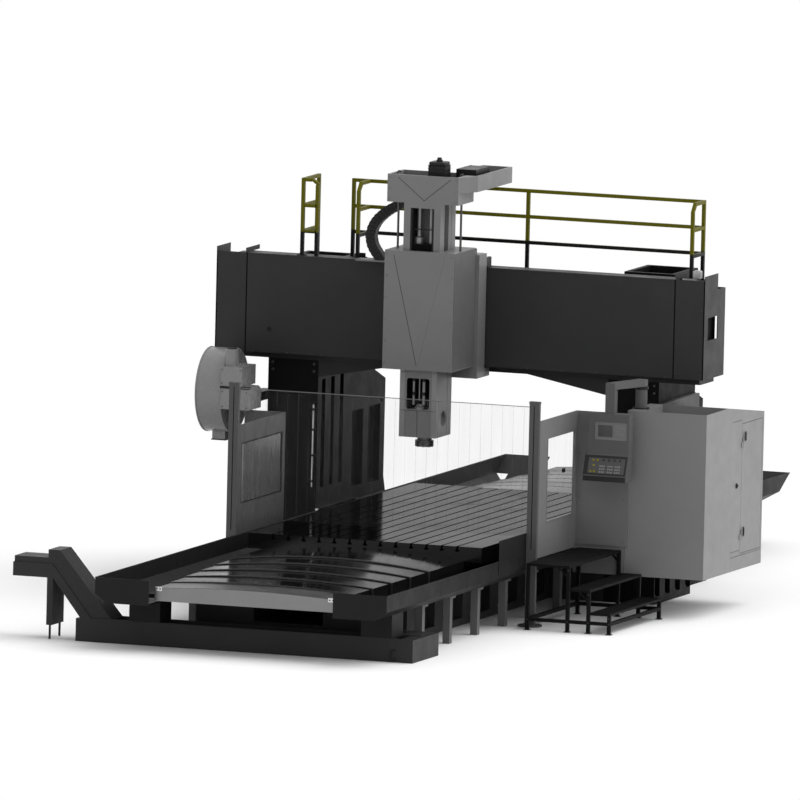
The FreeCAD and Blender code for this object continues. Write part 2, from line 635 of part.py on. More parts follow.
def make_yoke():
    """Yoke: open box across the top of the ram with a cable arm that runs to the rear."""
    yoke = body("yoke", d.saddle_rest)
    half = d.yoke_width / 2
    front = -d.ram_front
    top = d.yoke_bottom + d.yoke_height
    wall = d.yoke_wall
    block(yoke, (-half, half), (front, front + d.yoke_depth), (d.yoke_bottom, top))
    arm_bottom = top - d.yoke_arm_height
    arm_start = front + d.yoke_depth - d.yoke_arm_lap
    block(yoke, (d.yoke_arm_inside, d.yoke_arm_outside), (arm_start, d.yoke_arm_end),
          (arm_bottom, top))
    prism(yoke, "XY", [
        (half, front + wall), (d.yoke_arm_outside, arm_start), (half, arm_start),
    ], arm_bottom, top)
    opening(yoke, (-half + wall, half - wall), (front + wall, front + d.yoke_depth - wall),
            (d.yoke_bottom + wall, top + 1))
    opening(yoke, (d.yoke_arm_inside + wall, d.yoke_arm_outside - wall),
            (arm_start + wall, d.yoke_arm_end - wall), (arm_bottom + wall, top + 1))


def make_balance_rods():
    """Counterbalance rods that hang from the yoke into bores of the saddle."""
    rods = body("balance_rods", d.saddle_rest)
    for place in (d.rod_place, -d.rod_place):
        round_bar(rods, "Z", (place, rod_y, d.saddle_top - d.rod_depth), d.rod_radius,
                  d.yoke_bottom - d.saddle_top + d.rod_depth)


def make_spindle_motor():
    """Spindle motor: ribbed square housing with a round connector cap."""
    motor = body("spindle_motor", d.saddle_rest)
    reach = d.motor_side / 2
    bottom = d.yoke_bottom + d.yoke_wall
    centre = d.motor_place
    block(motor, (centre - reach, centre + reach), (rod_y - reach, rod_y + reach),
          (bottom, bottom + d.motor_height))
    round_bar(motor, "Z", (centre, rod_y, bottom + d.motor_height), d.motor_cap_radius,
              d.motor_cap_height)


def add_post(post, sign):
    half = d.post_width / 2
    block(post, side(sign, d.post_place - half, d.post_place + half),
          (-d.post_front, -d.post_front + d.post_depth), (0, d.post_height))
    round_bar(post, "Z", (sign * d.post_place, -d.post_front + d.post_depth / 2, 0),
              d.post_base_radius, d.post_base)
    brim = half + d.post_brim
    block(post, side(sign, d.post_place - brim, d.post_place + brim),
          (-d.post_front - d.post_brim, -d.post_front + d.post_depth + d.post_brim),
          (d.post_height, d.post_height + d.post_cap))


def make_guard_posts():
    """Guard posts beside the table: rectangular tubes on round foot plates, with caps."""
    posts = body("guard_posts")
    for sign in (1, -1):
        add_post(posts, sign)


def make_front_glass():
    """Clear front guard between the two posts, above the table."""
    glass = body("front_glass")
    reach = d.post_place - d.post_width / 2
    middle = -d.post_front + d.post_depth / 2
    block(glass, (-reach, reach), (middle - d.glass_sheet / 2, middle + d.glass_sheet / 2),
          (d.glass_bottom, d.glass_top))


def make_splash_plates():
    """Splash plates that stand on the outer walls of the troughs in front of the posts."""
    plates = body("splash_plates")
    for sign in (1, -1):
        block(plates, side(sign, d.trough_outside, d.trough_outside + d.splash_sheet),
              (-d.splash_start, -d.post_front), (d.splash_bottom, d.splash_top))


def make_guard_frame(part, sign, front, back, bottom, top, stile):
    inner, outer = d.guard_place - d.guard_sheet, d.guard_place
    block(part, side(sign, inner, outer), (-front, -back), (bottom, top))
    opening(part, side(sign, inner - 1, outer + 1), (-front + stile, -back - d.guard_border),
            (bottom + d.guard_sill, top - d.guard_head))


def make_pane(part, sign, front, back, bottom, top, stile):
    middle = d.guard_place - d.guard_sheet / 2
    block(part, side(sign, middle - d.pane_sheet / 2, middle + d.pane_sheet / 2),
          (-front + stile, -back - d.guard_border), (bottom + d.guard_sill, top - d.guard_head))


def make_operator_side():
    """Windowed guard on the operator side, and the return panel that closes it to the rear."""
    stile = d.guard_stile + d.post_front - d.post_depth - d.guard_front
    front = d.post_front - d.post_depth
    frame = body("operator_guard")
    make_guard_frame(frame, 1, front, d.guard_back, d.guard_bottom, d.guard_top, stile)
    pane = body("operator_guard_glass")
    make_pane(pane, 1, front, d.guard_back, d.guard_bottom, d.guard_top, stile)
    panel = body("return_panel")
    block(panel, (d.guard_place - d.guard_sheet, d.cabinet_left + d.panel_lap),
          (-d.guard_back, -d.cabinet_front), (d.guard_bottom + d.panel_lap, d.guard_top))


def make_left_guard():
    """Fixed guard on the magazine side: windowed panel and a return panel."""
    frame = body("left_guard_frame")
    make_guard_frame(frame, -1, d.post_front - d.post_depth, d.left_guard_back, d.guard_bottom,
                    d.left_guard_top, d.guard_stile)
    block(frame, side(-1, d.guard_place - d.guard_sheet, d.guard_place + d.left_return),
          (-d.left_guard_back, -d.left_guard_back + d.guard_sheet),
          (d.guard_bottom, d.left_guard_top))
    pane = body("left_guard_glass")
    make_pane(pane, -1, d.post_front - d.post_depth, d.left_guard_back, d.guard_bottom,
              d.left_guard_top, d.guard_stile)


door_top = d.cabinet_top - d.door_head
door_bottom = d.cabinet_bottom + d.door_foot
door_end = -d.cabinet_front + d.cabinet_depth - d.door_back
door_start = door_end - d.door_width
cabinet_right = d.cabinet_left + d.cabinet_width


def make_cabinet():
    """Electrical cabinet on the column's side: sloped roof and an inset door in the end wall."""
    cabinet = body("cabinet")
    front = -d.cabinet_front
    back = front + d.cabinet_depth
    prism(cabinet, "YZ", [
        (front, d.cabinet_bottom), (back, d.cabinet_bottom),
        (back, d.cabinet_top - d.cabinet_fall), (front + d.cabinet_flat, d.cabinet_top),
        (front, d.cabinet_top),
    ], d.cabinet_left, cabinet_right)
    opening(cabinet, (d.cabinet_left + d.well_place, cabinet_right - d.well_wall),
            (front + d.well_wall, front + d.cabinet_flat - d.well_wall),
            (d.cabinet_top - d.well_depth, d.cabinet_top + 1))
    opening(cabinet, (cabinet_right - d.door_thickness - d.door_gap, cabinet_right + 1),
            (door_start - d.door_gap, door_end + d.door_gap),
            (door_bottom - d.door_gap, door_top + d.door_gap))
    opening(cabinet, (cabinet_right - d.cabinet_cavity, cabinet_right),
            (door_start + d.door_lap, door_end - d.door_lap),
            (door_bottom + d.door_lap, door_top - d.door_lap))
    mount = body("cabinet_mount")
    block(mount, (column_outside, d.cabinet_left), (d.column_front, column_back),
          (d.cabinet_bottom + d.mount_inset, d.cabinet_top - d.mount_inset))
    door = body("cabinet_door")
    block(door, (cabinet_right - d.door_thickness, cabinet_right), (door_start, door_end),
          (door_bottom, door_top))
    hinge = (cabinet_right + d.hinge_reach, door_start + d.hinge_radius)
    for height in (door_bottom + d.hinge_place, door_top - d.hinge_place):
        round_bar(door, "Z", (*hinge, height), d.hinge_radius, d.hinge_knuckle)
        low = height - d.slide_gap - d.hinge_knuckle
        opening(door, (cabinet_right + d.hinge_reach - d.hinge_radius - d.hinge_gap, cabinet_right + 1),
                (door_start - 1, door_start + d.hinge_radius * 2 + d.hinge_gap),
                (low - d.hinge_gap, height))
        round_bar(cabinet, "Z", (*hinge, low), d.hinge_radius, d.hinge_knuckle)
        block(cabinet, (cabinet_right, cabinet_right + d.hinge_reach + d.hinge_radius / 2),
              (door_start - d.door_gap - d.door_lap, door_start + d.hinge_radius),
              (low, low + d.hinge_knuckle))


def make_conveyor():
    """Chip conveyor: floor trough with a tank behind it and a lift that climbs to its head."""
    trough = body("chip_conveyor")
    wall = d.conveyor_sheet
    y = (conveyor_front, conveyor_front + d.lift_width)
    block(trough, (-d.conveyor_left, d.conveyor_right), y, (0, d.conveyor_height))
    block(trough, (d.tank_left, d.conveyor_right), (y[1], y[0] + d.conveyor_depth),
          (0, d.conveyor_height))
    opening(trough, (-d.lift_foot + wall, d.conveyor_right - d.channel_end),
            (y[0] + wall, y[1] - wall), (d.conveyor_floor, d.conveyor_height + 1))
    lift = body("conveyor_lift")
    inset = d.lift_inset
    under = d.head_start - wall
    prism(lift, "XZ", [
        (-d.lift_foot - d.lift_thickness, d.conveyor_height), (-d.lift_foot, d.conveyor_height),
        (-d.head_start, d.head_top), (-d.head_end, d.head_top), (-d.head_end, d.head_bottom),
        (-under, d.head_bottom),
    ], *y)
    prism(lift, "XZ", [
        (-d.hood_foot, d.conveyor_height), (-d.hood_start, d.hood_top),
        (-d.hood_start - d.hood_length, d.hood_top), (-d.hood_start - d.hood_length, d.lid_top),
        (-d.head_end + inset, d.lid_top), (-d.head_end + inset, d.head_top - 1),
        (-d.head_start, d.head_top - 1), (-d.lift_foot - inset, d.conveyor_height),
    ], y[0] + inset, y[1])
    leg_x = (-d.head_start - d.lift_leg_width + wall, -d.head_start + wall)
    leg_bottom = d.head_bottom - d.lift_leg_height
    block(lift, leg_x, y, (leg_bottom, d.head_bottom))
    for place in (y[0] + d.lift_pin_place, y[1] - d.lift_pin_place):
        round_bar(lift, "Z", (-d.head_start - d.lift_leg_width / 2 + wall, place, 0),
                  d.lift_pin_radius, leg_bottom)


def make_magazine():
    """Tool magazine: closed drum with a box housing, on a bracket of the left column."""
    drum = body("magazine_drum")
    centre = (-d.drum_left, -d.drum_front, d.drum_height)
    round_bar(drum, "X", centre, d.drum_radius, d.drum_left - d.drum_right)
    housing_y = (-d.housing_front, -d.housing_front + d.housing_depth)
    block(drum, (-d.drum_right, -d.housing_right), housing_y, (d.changer_top, d.housing_top))
    round_bar(drum, "Z", (-d.drum_motor_place, -d.drum_motor_front, d.housing_top),
              d.drum_motor_radius, d.drum_motor_height)
    foot = d.foot_side / 2
    foot_x = -(d.drum_left + d.drum_right) / 2
    block(drum, (foot_x - foot, foot_x + foot), (centre[1] - foot, centre[1] + foot),
          (d.foot_bottom, d.foot_bottom + d.foot_side))
    changer = body("tool_changer")
    changer_y = (-d.housing_front, -d.housing_front + d.changer_depth)
    prism(changer, "YZ", [
        (changer_y[0], d.changer_bottom), (changer_y[1], d.changer_bottom),
        (changer_y[1], d.changer_top - d.changer_chamfer),
        (changer_y[1] - d.changer_chamfer * 2, d.changer_top), (changer_y[0], d.changer_top),
    ], -d.drum_right, -d.changer_right)
    bracket = body("magazine_bracket")
    block(bracket, (-d.drum_right, -column_outside), (changer_y[1], d.column_front + d.bracket_reach),
          (d.changer_bottom, d.changer_bottom + d.bracket_height))


def make_console():
    """Operator console: box and tilted key shelf on an arm that swings on a roof post."""
    post = body("console_post")
    centre = (d.console_x, -d.console_y)
    round_bar(post, "Z", (*centre, d.cabinet_top), d.console_post_radius,
              d.console_post_top - d.cabinet_top)
    arm = body("console_arm")
    low = d.console_post_top + d.slide_gap
    high = low + d.console_arm
    middle = d.console_left + d.console_width / 2
    reach = d.console_arm_width / 2
    back = -d.console_front + d.console_depth
    neck = (back - d.neck_lap, back - d.neck_lap + d.neck_depth)
    prism(arm, "XY", [
        (middle - reach, neck[0]), (middle + reach, neck[0]),
        (centre[0] + reach, centre[1] - reach), (centre[0] + reach, centre[1] + reach),
        (centre[0] - reach, centre[1] + reach),
    ], low, high)
    top = d.console_bottom + d.console_height
    block(arm, (middle - reach, middle + reach), neck, (top, low))
    box = body("console")
    block(box, (d.console_left, d.console_left + d.console_width), (-d.console_front, back),
          (d.console_bottom, top))
    shelf_bottom = d.console_bottom - d.shelf_height
    lip = -d.console_front - d.shelf_reach
    prism(box, "YZ", [
        (lip, shelf_bottom), (back, shelf_bottom), (back, d.console_bottom),
        (-d.console_front, d.console_bottom), (lip, shelf_bottom + d.shelf_lip),
    ], d.console_left - d.shelf_overhang, d.console_left + d.console_width)


def make_steps():
    """Operator platform: deck and two treads on angle-iron legs with low rails."""
    steps = body("step_platform")
    y = (-d.deck_front, -d.deck_back)
    angle = d.angle_width
    left = d.deck_left
    ends = ((y[0], y[0] + angle), (y[1] - angle, y[1]))
    for end in ends:
        block(steps, (left, left + angle), end, (0, d.deck_top - d.deck_sheet))
    treads = ((left, d.deck_width, 0), (left + d.deck_width, d.step_width, 1),
              (left + d.deck_width + d.step_width, d.step_width, 2))
    for start, width, down in treads:
        top = d.deck_top - d.step_rise * down
        block(steps, (start, start + width), y, (top - d.deck_sheet, top))
        for end in ends:
            block(steps, (start + width - angle, start + width), end, (0, top - d.deck_sheet))
    outer = left + d.deck_width + d.step_width * 2
    for end in ends:
        block(steps, (left, outer), end, (d.brace_bottom, d.brace_bottom + angle))
    for start in (left, outer - angle):
        block(steps, (start, start + angle), y, (d.brace_bottom, d.brace_bottom + angle))


def add_return(railing, place, start, low):
    """Short rail run from an end post of the railing forward to a post on the cover's flange."""
    tube = d.rail_tube
    back = beam_back - d.rail_inset - tube
    front = back - d.return_length
    low_x, high_x = place - tube / 2, place + tube / 2
    block(railing, (low_x, high_x), (front, front + tube), (low, d.rail_top - d.return_drop))
    for down in (1, 2):
        height = d.rail_top - d.rail_gap * down
        block(railing, (low_x, high_x), (front + tube, start), (height - tube, height))
    prism(railing, "YZ", [
        (front, d.rail_top - d.return_drop), (front + tube, d.rail_top - d.return_drop),
        (front + d.return_drop, d.rail_top - tube), (start, d.rail_top - tube),
        (start, d.rail_top), (front + d.return_drop - tube / 2, d.rail_top),
    ], low_x, high_x)


def make_railings():
    """Tube railing along the deck of the crossbeam and a short ladder guard at its left."""
    tube = d.rail_tube
    back = beam_back - d.rail_inset
    y = (back - tube, back)
    railing = body("deck_railing")
    for place in (-d.railing_left, d.railing_middle, d.railing_right):
        block(railing, (place - tube / 2, place + tube / 2), y, (d.beam_top, d.rail_top))
    for down in range(3):
        height = d.rail_top - d.rail_gap * down
        block(railing, (-d.railing_left - tube / 2, d.railing_right + tube / 2), y,
              (height - tube, height))
    for place in (-d.return_left, d.railing_right):
        add_return(railing, place, y[0], d.front_top)
    ladder = body("ladder_guard")
    x = (-d.guard_ladder - tube / 2, -d.guard_ladder + tube / 2)
    near = (d.cover_front + d.ladder_inset, d.cover_front + d.ladder_inset + tube)
    top = d.rail_top + d.ladder_rise
    for post, foot in ((near, d.front_top), (y, d.beam_top)):
        block(ladder, x, post, (foot, top))
    for down in range(3):
        height = top - d.rail_gap * down
        block(ladder, x, (near[0], y[1]), (height - tube, height))


def make_cable_chain():
    """Cable chain: a bent run of links that stands on a tray beside the saddle."""
    chain = body("cable_chain", d.saddle_rest)
    low = d.beam_top + d.chain_rise
    outer = d.chain_radius
    inner = d.chain_radius - d.chain_thickness
    centre_x = -d.chain_foot + d.chain_radius
    centre_z = low + d.chain_straight

    def arc(radius, turns):
        return [(centre_x - radius * cosine, centre_z + radius * sine) for cosine, sine in turns]

    # Cosines and sines of the bend at every 22.5 degrees, from the upright run to its top.
    turns = [(1.0, 0.0), (0.9239, 0.3827), (0.7071, 0.7071), (0.3827, 0.9239), (0.0, 1.0)]
    prism(chain, "XZ", [(centre_x - outer, low), (centre_x - inner, low)]
          + arc(inner, turns) + arc(outer, turns[::-1]), d.chain_front,
          d.chain_front + d.chain_width)
    tray = body("chain_tray", d.saddle_rest)
    plate = d.back_plate_width / 2
    block(tray, (-plate - d.tray_length, -plate), (d.tray_front, d.tray_front + d.tray_width),
          (low - d.chain_tray, low))


def make_drive_box():
    """Drive box that stands in the open cable arm behind the spindle motor."""
    box = body("drive_box", d.saddle_rest)
    floor = d.yoke_bottom + d.yoke_height - d.yoke_arm_height + d.yoke_wall
    start = d.yoke_arm_inside + d.yoke_wall + d.clearance
    front = rod_y + d.drive_place
    block(box, (start, start + d.drive_width), (front, front + d.drive_length),
          (floor, floor + d.drive_height))


def make_chip_seals():
    """Seal strips on the columns' inner faces that cover the gap to the troughs."""
    seals = body("chip_seals")
    for sign in (1, -1):
        block(seals, side(sign, d.column_inside - d.seal_width, d.column_inside),
              (d.column_front, column_back), (d.trough_top, d.trough_top + d.seal_height))


make_bed()
make_trough(-1, "left_trough")
make_trough(1, "right_trough")
make_trough_legs()
make_table()
for place in range(cover_steps + 1):
    make_cover(-1, place, "front_cover_%d" % (place + 1))
for place in range(cover_steps + 1):
    make_cover(1, place, "rear_cover_%d" % (place + 1))
make_cover_supports()
make_column(-1, "left_column")
make_column(1, "right_column")
make_crossbeam()
make_beam_rails()
make_beam_cover()
make_beam_end(-1, "left_beam_end")
make_beam_end(1, "right_beam_end")
make_saddle()
make_ram()
make_spindle()
make_yoke()
make_balance_rods()
make_spindle_motor()
make_guard_posts()
make_front_glass()
make_splash_plates()
make_operator_side()
make_left_guard()
make_cabinet()
make_conveyor()
make_magazine()
make_console()
make_steps()
make_railings()
make_cable_chain()
make_drive_box()
make_chip_seals()

doc.recompute()

for item in doc.Objects:
    if "Invalid" in item.State or "Error" in item.State:
        raise RuntimeError("%s in %s failed" % (item.Name, item.Label))
for made in bodies:
    if made.Shape.isNull() or not made.Shape.isValid() or not made.Shape.Solids:
        raise RuntimeError("%s has no valid solid" % made.Label)

os.makedirs("parts", exist_ok=True)
for made in bodies:
    made.Shape.exportStep("parts/%s.step" % made.Label)
    box = made.Shape.BoundBox
    print("%-24s %d %7.2f  %s" % (
        made.Label, len(made.Shape.Solids), made.Shape.Volume / 1e9,
        [round(value) for value in (box.XMin, box.XMax, box.YMin, box.YMax, box.ZMin, box.ZMax)]))
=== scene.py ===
import math

import bpy
import numpy as np
from mathutils import Euler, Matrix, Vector


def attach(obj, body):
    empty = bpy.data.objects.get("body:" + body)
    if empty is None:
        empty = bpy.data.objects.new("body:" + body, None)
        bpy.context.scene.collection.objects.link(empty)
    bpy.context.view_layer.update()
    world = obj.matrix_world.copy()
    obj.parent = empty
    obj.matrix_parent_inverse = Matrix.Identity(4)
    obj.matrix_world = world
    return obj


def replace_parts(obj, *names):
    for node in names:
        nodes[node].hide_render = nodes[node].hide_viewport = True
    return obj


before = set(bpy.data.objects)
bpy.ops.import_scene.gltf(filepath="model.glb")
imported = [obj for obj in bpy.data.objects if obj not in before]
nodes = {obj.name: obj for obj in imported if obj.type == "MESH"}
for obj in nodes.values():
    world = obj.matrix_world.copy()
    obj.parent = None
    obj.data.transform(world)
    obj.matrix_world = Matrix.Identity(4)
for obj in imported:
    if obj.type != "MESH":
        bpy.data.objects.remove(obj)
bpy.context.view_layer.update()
scene = bpy.context.scene
scene.view_settings.view_transform = "Standard"

# The viewing angle: far off with a very long lens, so that the machine's parallel edges
# stay parallel. It stands a little to the operator side and leans by just over a degree.
VIEW_TURN, VIEW_HEIGHT, VIEW_LEAN = math.radians(19.70), math.radians(6.564), math.radians(1.375)
VIEW_WIDTH, LENS, SENSOR = 9.865, 1600.0, 36.0
AIM = Vector((-0.663, 0.0, 2.389))

lens = bpy.data.cameras.new("view")
lens.lens, lens.sensor_width, lens.clip_start, lens.clip_end = LENS, SENSOR, 1.0, 1500.0
camera = bpy.data.objects.new("view", lens)
scene.collection.objects.link(camera)
scene.camera = camera
back = Vector((math.sin(VIEW_TURN) * math.cos(VIEW_HEIGHT),
               -math.cos(VIEW_TURN) * math.cos(VIEW_HEIGHT), math.sin(VIEW_HEIGHT)))
camera.location = AIM + back * (VIEW_WIDTH * LENS / SENSOR)
camera.rotation_mode = "QUATERNION"
upright = (-back).to_track_quat("-Z", "Y")
camera.rotation_quaternion = upright @ Euler((0.0, 0.0, VIEW_LEAN)).to_quaternion()

# The studio: a pale floor that takes the machine's soft shadow and is plain white farther off,
# a dome of light that is a little stronger on the operator side, and one broad soft sun.
FLOOR_HALF, FLOOR_DROP, LIT_REACH, WHITE_REACH = 60.0, 0.002, 9.0, 13.0
DOME, DOME_SIDE, DOME_TOP = 0.66, 0.34, 0.16
SUN_STRENGTH, SUN_SPREAD = 1.55, math.radians(55)
SUN_PLACE = Vector((0.55, 0.22, 0.80))


def node_material(name):
    """A material, its node tree and its shader."""
    made = bpy.data.materials.new(name)
    made.use_nodes = True
    return made, made.node_tree, made.node_tree.nodes["Principled BSDF"]


def object_place(tree, scale=(1.0, 1.0, 1.0)):
    """The place on the object, in metres, stretched by the scale along each axis."""
    place = tree.nodes.new("ShaderNodeTexCoord")
    mapping = tree.nodes.new("ShaderNodeMapping")
    mapping.inputs["Scale"].default_value = scale
    tree.links.new(place.outputs["Object"], mapping.inputs["Vector"])
    return mapping.outputs["Vector"]


def noise(tree, where, scale, detail=3.0, rough=0.55):
    made = tree.nodes.new("ShaderNodeTexNoise")
    made.inputs["Scale"].default_value = scale
    made.inputs["Detail"].default_value = detail
    made.inputs["Roughness"].default_value = rough
    tree.links.new(where, made.inputs["Vector"])
    return made.outputs["Fac"]


def spread(tree, value, low, high, start=0.3, end=0.7):
    """A value taken from start..end onto low..high."""
    made = tree.nodes.new("ShaderNodeMapRange")
    for name, number in (("From Min", start), ("From Max", end), ("To Min", low), ("To Max", high)):
        made.inputs[name].default_value = number
    tree.links.new(value, made.inputs["Value"])
    return made.outputs["Result"]


def combined(tree, kind, *values):
    """The result of a math node on sockets and numbers."""
    made = tree.nodes.new("ShaderNodeMath")
    made.operation = kind
    for socket, value in zip(made.inputs, values):
        if isinstance(value, (int, float)):
            socket.default_value = value
        else:
            tree.links.new(value, socket)
    return made.outputs[0]


def mixed(tree, share, first, second):
    """A colour between two, by a share from 0 to 1."""
    made = tree.nodes.new("ShaderNodeMix")
    made.data_type = "RGBA"
    tree.links.new(share, made.inputs["Factor"])
    for socket, value in ((made.inputs[6], first), (made.inputs[7], second)):
        if isinstance(value, tuple):
            socket.default_value = (*value, 1.0)
        else:
            tree.links.new(value, socket)
    return made.outputs[2]


floor_paint, tree, shader = node_material("studio_floor")
shader.inputs["Roughness"].default_value = 0.9
shader.inputs["Specular IOR Level"].default_value = 0.0
floor_place = object_place(tree)
shade = spread(tree, noise(tree, floor_place, 0.4), 0.0, 1.0)
tree.links.new(mixed(tree, shade, (0.93, 0.93, 0.93), (0.95, 0.95, 0.95)),
               shader.inputs["Base Color"])
distance = tree.nodes.new("ShaderNodeVectorMath")
distance.operation = "LENGTH"
tree.links.new(floor_place, distance.inputs[0])
far_off = spread(tree, distance.outputs["Value"], 0.0, 1.0, LIT_REACH, WHITE_REACH)
plain_white = tree.nodes.new("ShaderNodeEmission")
plain_white.inputs["Color"].default_value = (1.0, 1.0, 1.0, 1.0)
plain_white.inputs["Strength"].default_value = 1.0
seen = tree.nodes.new("ShaderNodeLightPath")
share = combined(tree, "MULTIPLY", far_off, seen.outputs["Is Camera Ray"])
choice = tree.nodes.new("ShaderNodeMixShader")
tree.links.new(share, choice.inputs[0])
tree.links.new(shader.outputs[0], choice.inputs[1])
tree.links.new(plain_white.outputs[0], choice.inputs[2])
tree.links.new(choice.outputs[0], tree.nodes["Material Output"].inputs["Surface"])
floor_mesh = bpy.data.meshes.new("studio_floor")
corners = np.array([[-1, -1, 0], [1, -1, 0], [1, 1, 0], [-1, 1, 0]], float) * FLOOR_HALF
corners[:, 2] = -FLOOR_DROP
floor_mesh.from_pydata(corners.tolist(), [], [(0, 1, 2, 3)])
floor_mesh.materials.append(floor_paint)
floor = bpy.data.objects.new("studio_floor", floor_mesh)
scene.collection.objects.link(floor)

surround = bpy.data.worlds.new("surround")
scene.world = surround
surround.use_nodes = True
tree = surround.node_tree
ambient = tree.nodes["Background"]
ambient.inputs["Color"].default_value = (1.0, 1.0, 1.0, 1.0)
direction = tree.nodes.new("ShaderNodeTexCoord")
parts = tree.nodes.new("ShaderNodeSeparateXYZ")
tree.links.new(direction.outputs["Generated"], parts.inputs[0])
slope = combined(tree, "ADD", combined(tree, "MULTIPLY", parts.outputs["X"], DOME_SIDE),
                 combined(tree, "MULTIPLY", parts.outputs["Z"], DOME_TOP))
tree.links.new(combined(tree, "ADD", slope, DOME), ambient.inputs["Strength"])
white = tree.nodes.new("ShaderNodeBackground")
white.inputs["Color"].default_value = (1.0, 1.0, 1.0, 1.0)
white.inputs["Strength"].default_value = 1.0
seen = tree.nodes.new("ShaderNodeLightPath")
mirrored_too = combined(tree, "MAXIMUM", seen.outputs["Is Camera Ray"],
                        seen.outputs["Is Glossy Ray"])
either = combined(tree, "MAXIMUM", mirrored_too, seen.outputs["Is Transmission Ray"])
choice = tree.nodes.new("ShaderNodeMixShader")
tree.links.new(either, choice.inputs[0])
tree.links.new(ambient.outputs[0], choice.inputs[1])
tree.links.new(white.outputs[0], choice.inputs[2])
tree.links.new(choice.outputs[0], tree.nodes["World Output"].inputs["Surface"])

sun = bpy.data.lights.new("soft_sun", "SUN")
sun.energy, sun.angle = SUN_STRENGTH, SUN_SPREAD
sun_object = bpy.data.objects.new("soft_sun", sun)
scene.collection.objects.link(sun_object)
sun_object.rotation_euler = SUN_PLACE.to_track_quat("Z", "Y").to_euler()


# The bed: one long iron casting with box ways, sprayed charcoal. Beside it the columns' feet are
# held down to the foundation by studs with washers and nuts.
def grey(value, tint=(1.0, 1.0, 1.0)):
    """A screen grey from 0 to 255 as a linear colour, tinted."""
    share = value / 255.0
    linear = share / 12.92 if share <= 0.04045 else ((share + 0.055) / 1.055) ** 2.4
    return tuple(linear * part for part in tint)


def shaded(color, factor):
    return tuple(part * factor for part in color)


def bump(tree, shader, height, distance, strength=1.0):
    made = tree.nodes.new("ShaderNodeBump")
    made.inputs["Distance"].default_value = distance
    made.inputs["Strength"].default_value = strength
    tree.links.new(height, made.inputs["Height"])
    tree.links.new(made.outputs["Normal"], shader.inputs["Normal"])


def enamel(name, color, rough=0.42, shine=0.25, texture=0.0005, cloud=0.08, grain=200.0, dust=0.12):
    """Sprayed enamel: slow clouds in the colour, a fine orange-peel bump, dust on flat tops."""
    made, tree, shader = node_material(name)
    where = object_place(tree)
    base = mixed(tree, spread(tree, noise(tree, where, 0.9, 4.0), 0.0, 1.0),
                 shaded(color, 1.0 - cloud), shaded(color, 1.0 + cloud))
    facing = tree.nodes.new("ShaderNodeNewGeometry")
    split = tree.nodes.new("ShaderNodeSeparateXYZ")
    tree.links.new(facing.outputs["Normal"], split.inputs[0])
    settled = combined(tree, "MULTIPLY", spread(tree, split.outputs["Z"], 0.0, dust, 0.75, 1.0),
                       spread(tree, noise(tree, where, 3.1, 5.0), 0.2, 1.0))
    tree.links.new(mixed(tree, settled, base, grey(140)), shader.inputs["Base Color"])
    tree.links.new(spread(tree, noise(tree, where, 5.0, 4.0), rough - 0.06, rough + 0.08),
                   shader.inputs["Roughness"])
    shader.inputs["Specular IOR Level"].default_value = shine
    bump(tree, shader, noise(tree, where, grain, 2.0), texture, 0.6)
    return made


def dress(material, *names):
    """The finish of CAD nodes: the one material in their first slot."""
    for name in names:
        mesh = nodes[name].data
        mesh.materials.clear()
        mesh.materials.append(material)


def quads(rows, columns):
    """Faces between neighbouring rows and columns of a grid of points, counted row by row, with
    the last column joined to the first."""
    row = np.arange(rows - 1)[:, None] * columns
    here = np.arange(columns)[None, :]
    there = (here + 1) % columns
    return np.stack([row + here, row + there, row + columns + there, row + columns + here],
                    -1).reshape(-1, 4)


def carried(rows):
    """A closed solid from an array (rows, columns, 3): the outline on each row, joined to the
    next one and capped at both ends."""
    rows = np.asarray(rows, float)
    count, columns = rows.shape[:2]
    low, high = np.arange(columns)[::-1], np.arange(columns) + (count - 1) * columns
    return rows.reshape(-1, 3), [quads(count, columns), low[None, :], high[None, :]]


def turned_box(centre, size, edge, along=(0, 0, 1), across=(1, 0, 0)):
    """A box with its edges cut at 45 degrees: an eight-sided outline at four heights, where
    the first and last outline are drawn in by the cut. Size runs across, over and along."""
    along = np.asarray(along, float) / np.linalg.norm(along)
    across = np.asarray(across, float) - along * np.dot(across, along)
    across /= np.linalg.norm(across)
    over = np.cross(along, across)
    hx, hy, hz = np.asarray(size, float) / 2
    edge = min(edge, 0.9 * min(hx, hy, hz))
    inset = np.array([edge, 0.0, 0.0, edge])[:, None]
    height = np.array([-hz, -hz + edge, hz - edge, hz])[:, None]
    x = np.array([hx, hx - edge, -hx + edge, -hx, -hx, -hx + edge, hx - edge, hx])
    y = np.array([hy - edge, hy, hy, hy - edge, -hy + edge, -hy, -hy, -hy + edge])
    x_in, y_in = x - np.sign(x) * inset, y - np.sign(y) * inset
    local = np.stack([x_in, y_in, np.broadcast_to(height, x_in.shape)], -1)
    rows = np.asarray(centre, float) + local @ np.stack([across, over, along])
    return carried(rows)


def block(low, high, edge=0.002):
    """A box with cut edges from its low to its high corner."""
    low, high = np.asarray(low, float), np.asarray(high, float)
    return turned_box((low + high) / 2, high - low, edge)


def bar(start, end, width, height, up, edge=0.002):
    """A flat bar from start to end whose width lies square to up and whose foot is on the line."""
    start, end, up = (np.asarray(value, float) for value in (start, end, up))
    along = end - start
    across = np.cross(up, along)
    centre = (start + end) / 2 + up / np.linalg.norm(up) * height / 2
    return turned_box(centre, (width, height, np.linalg.norm(along)), edge, along, across)


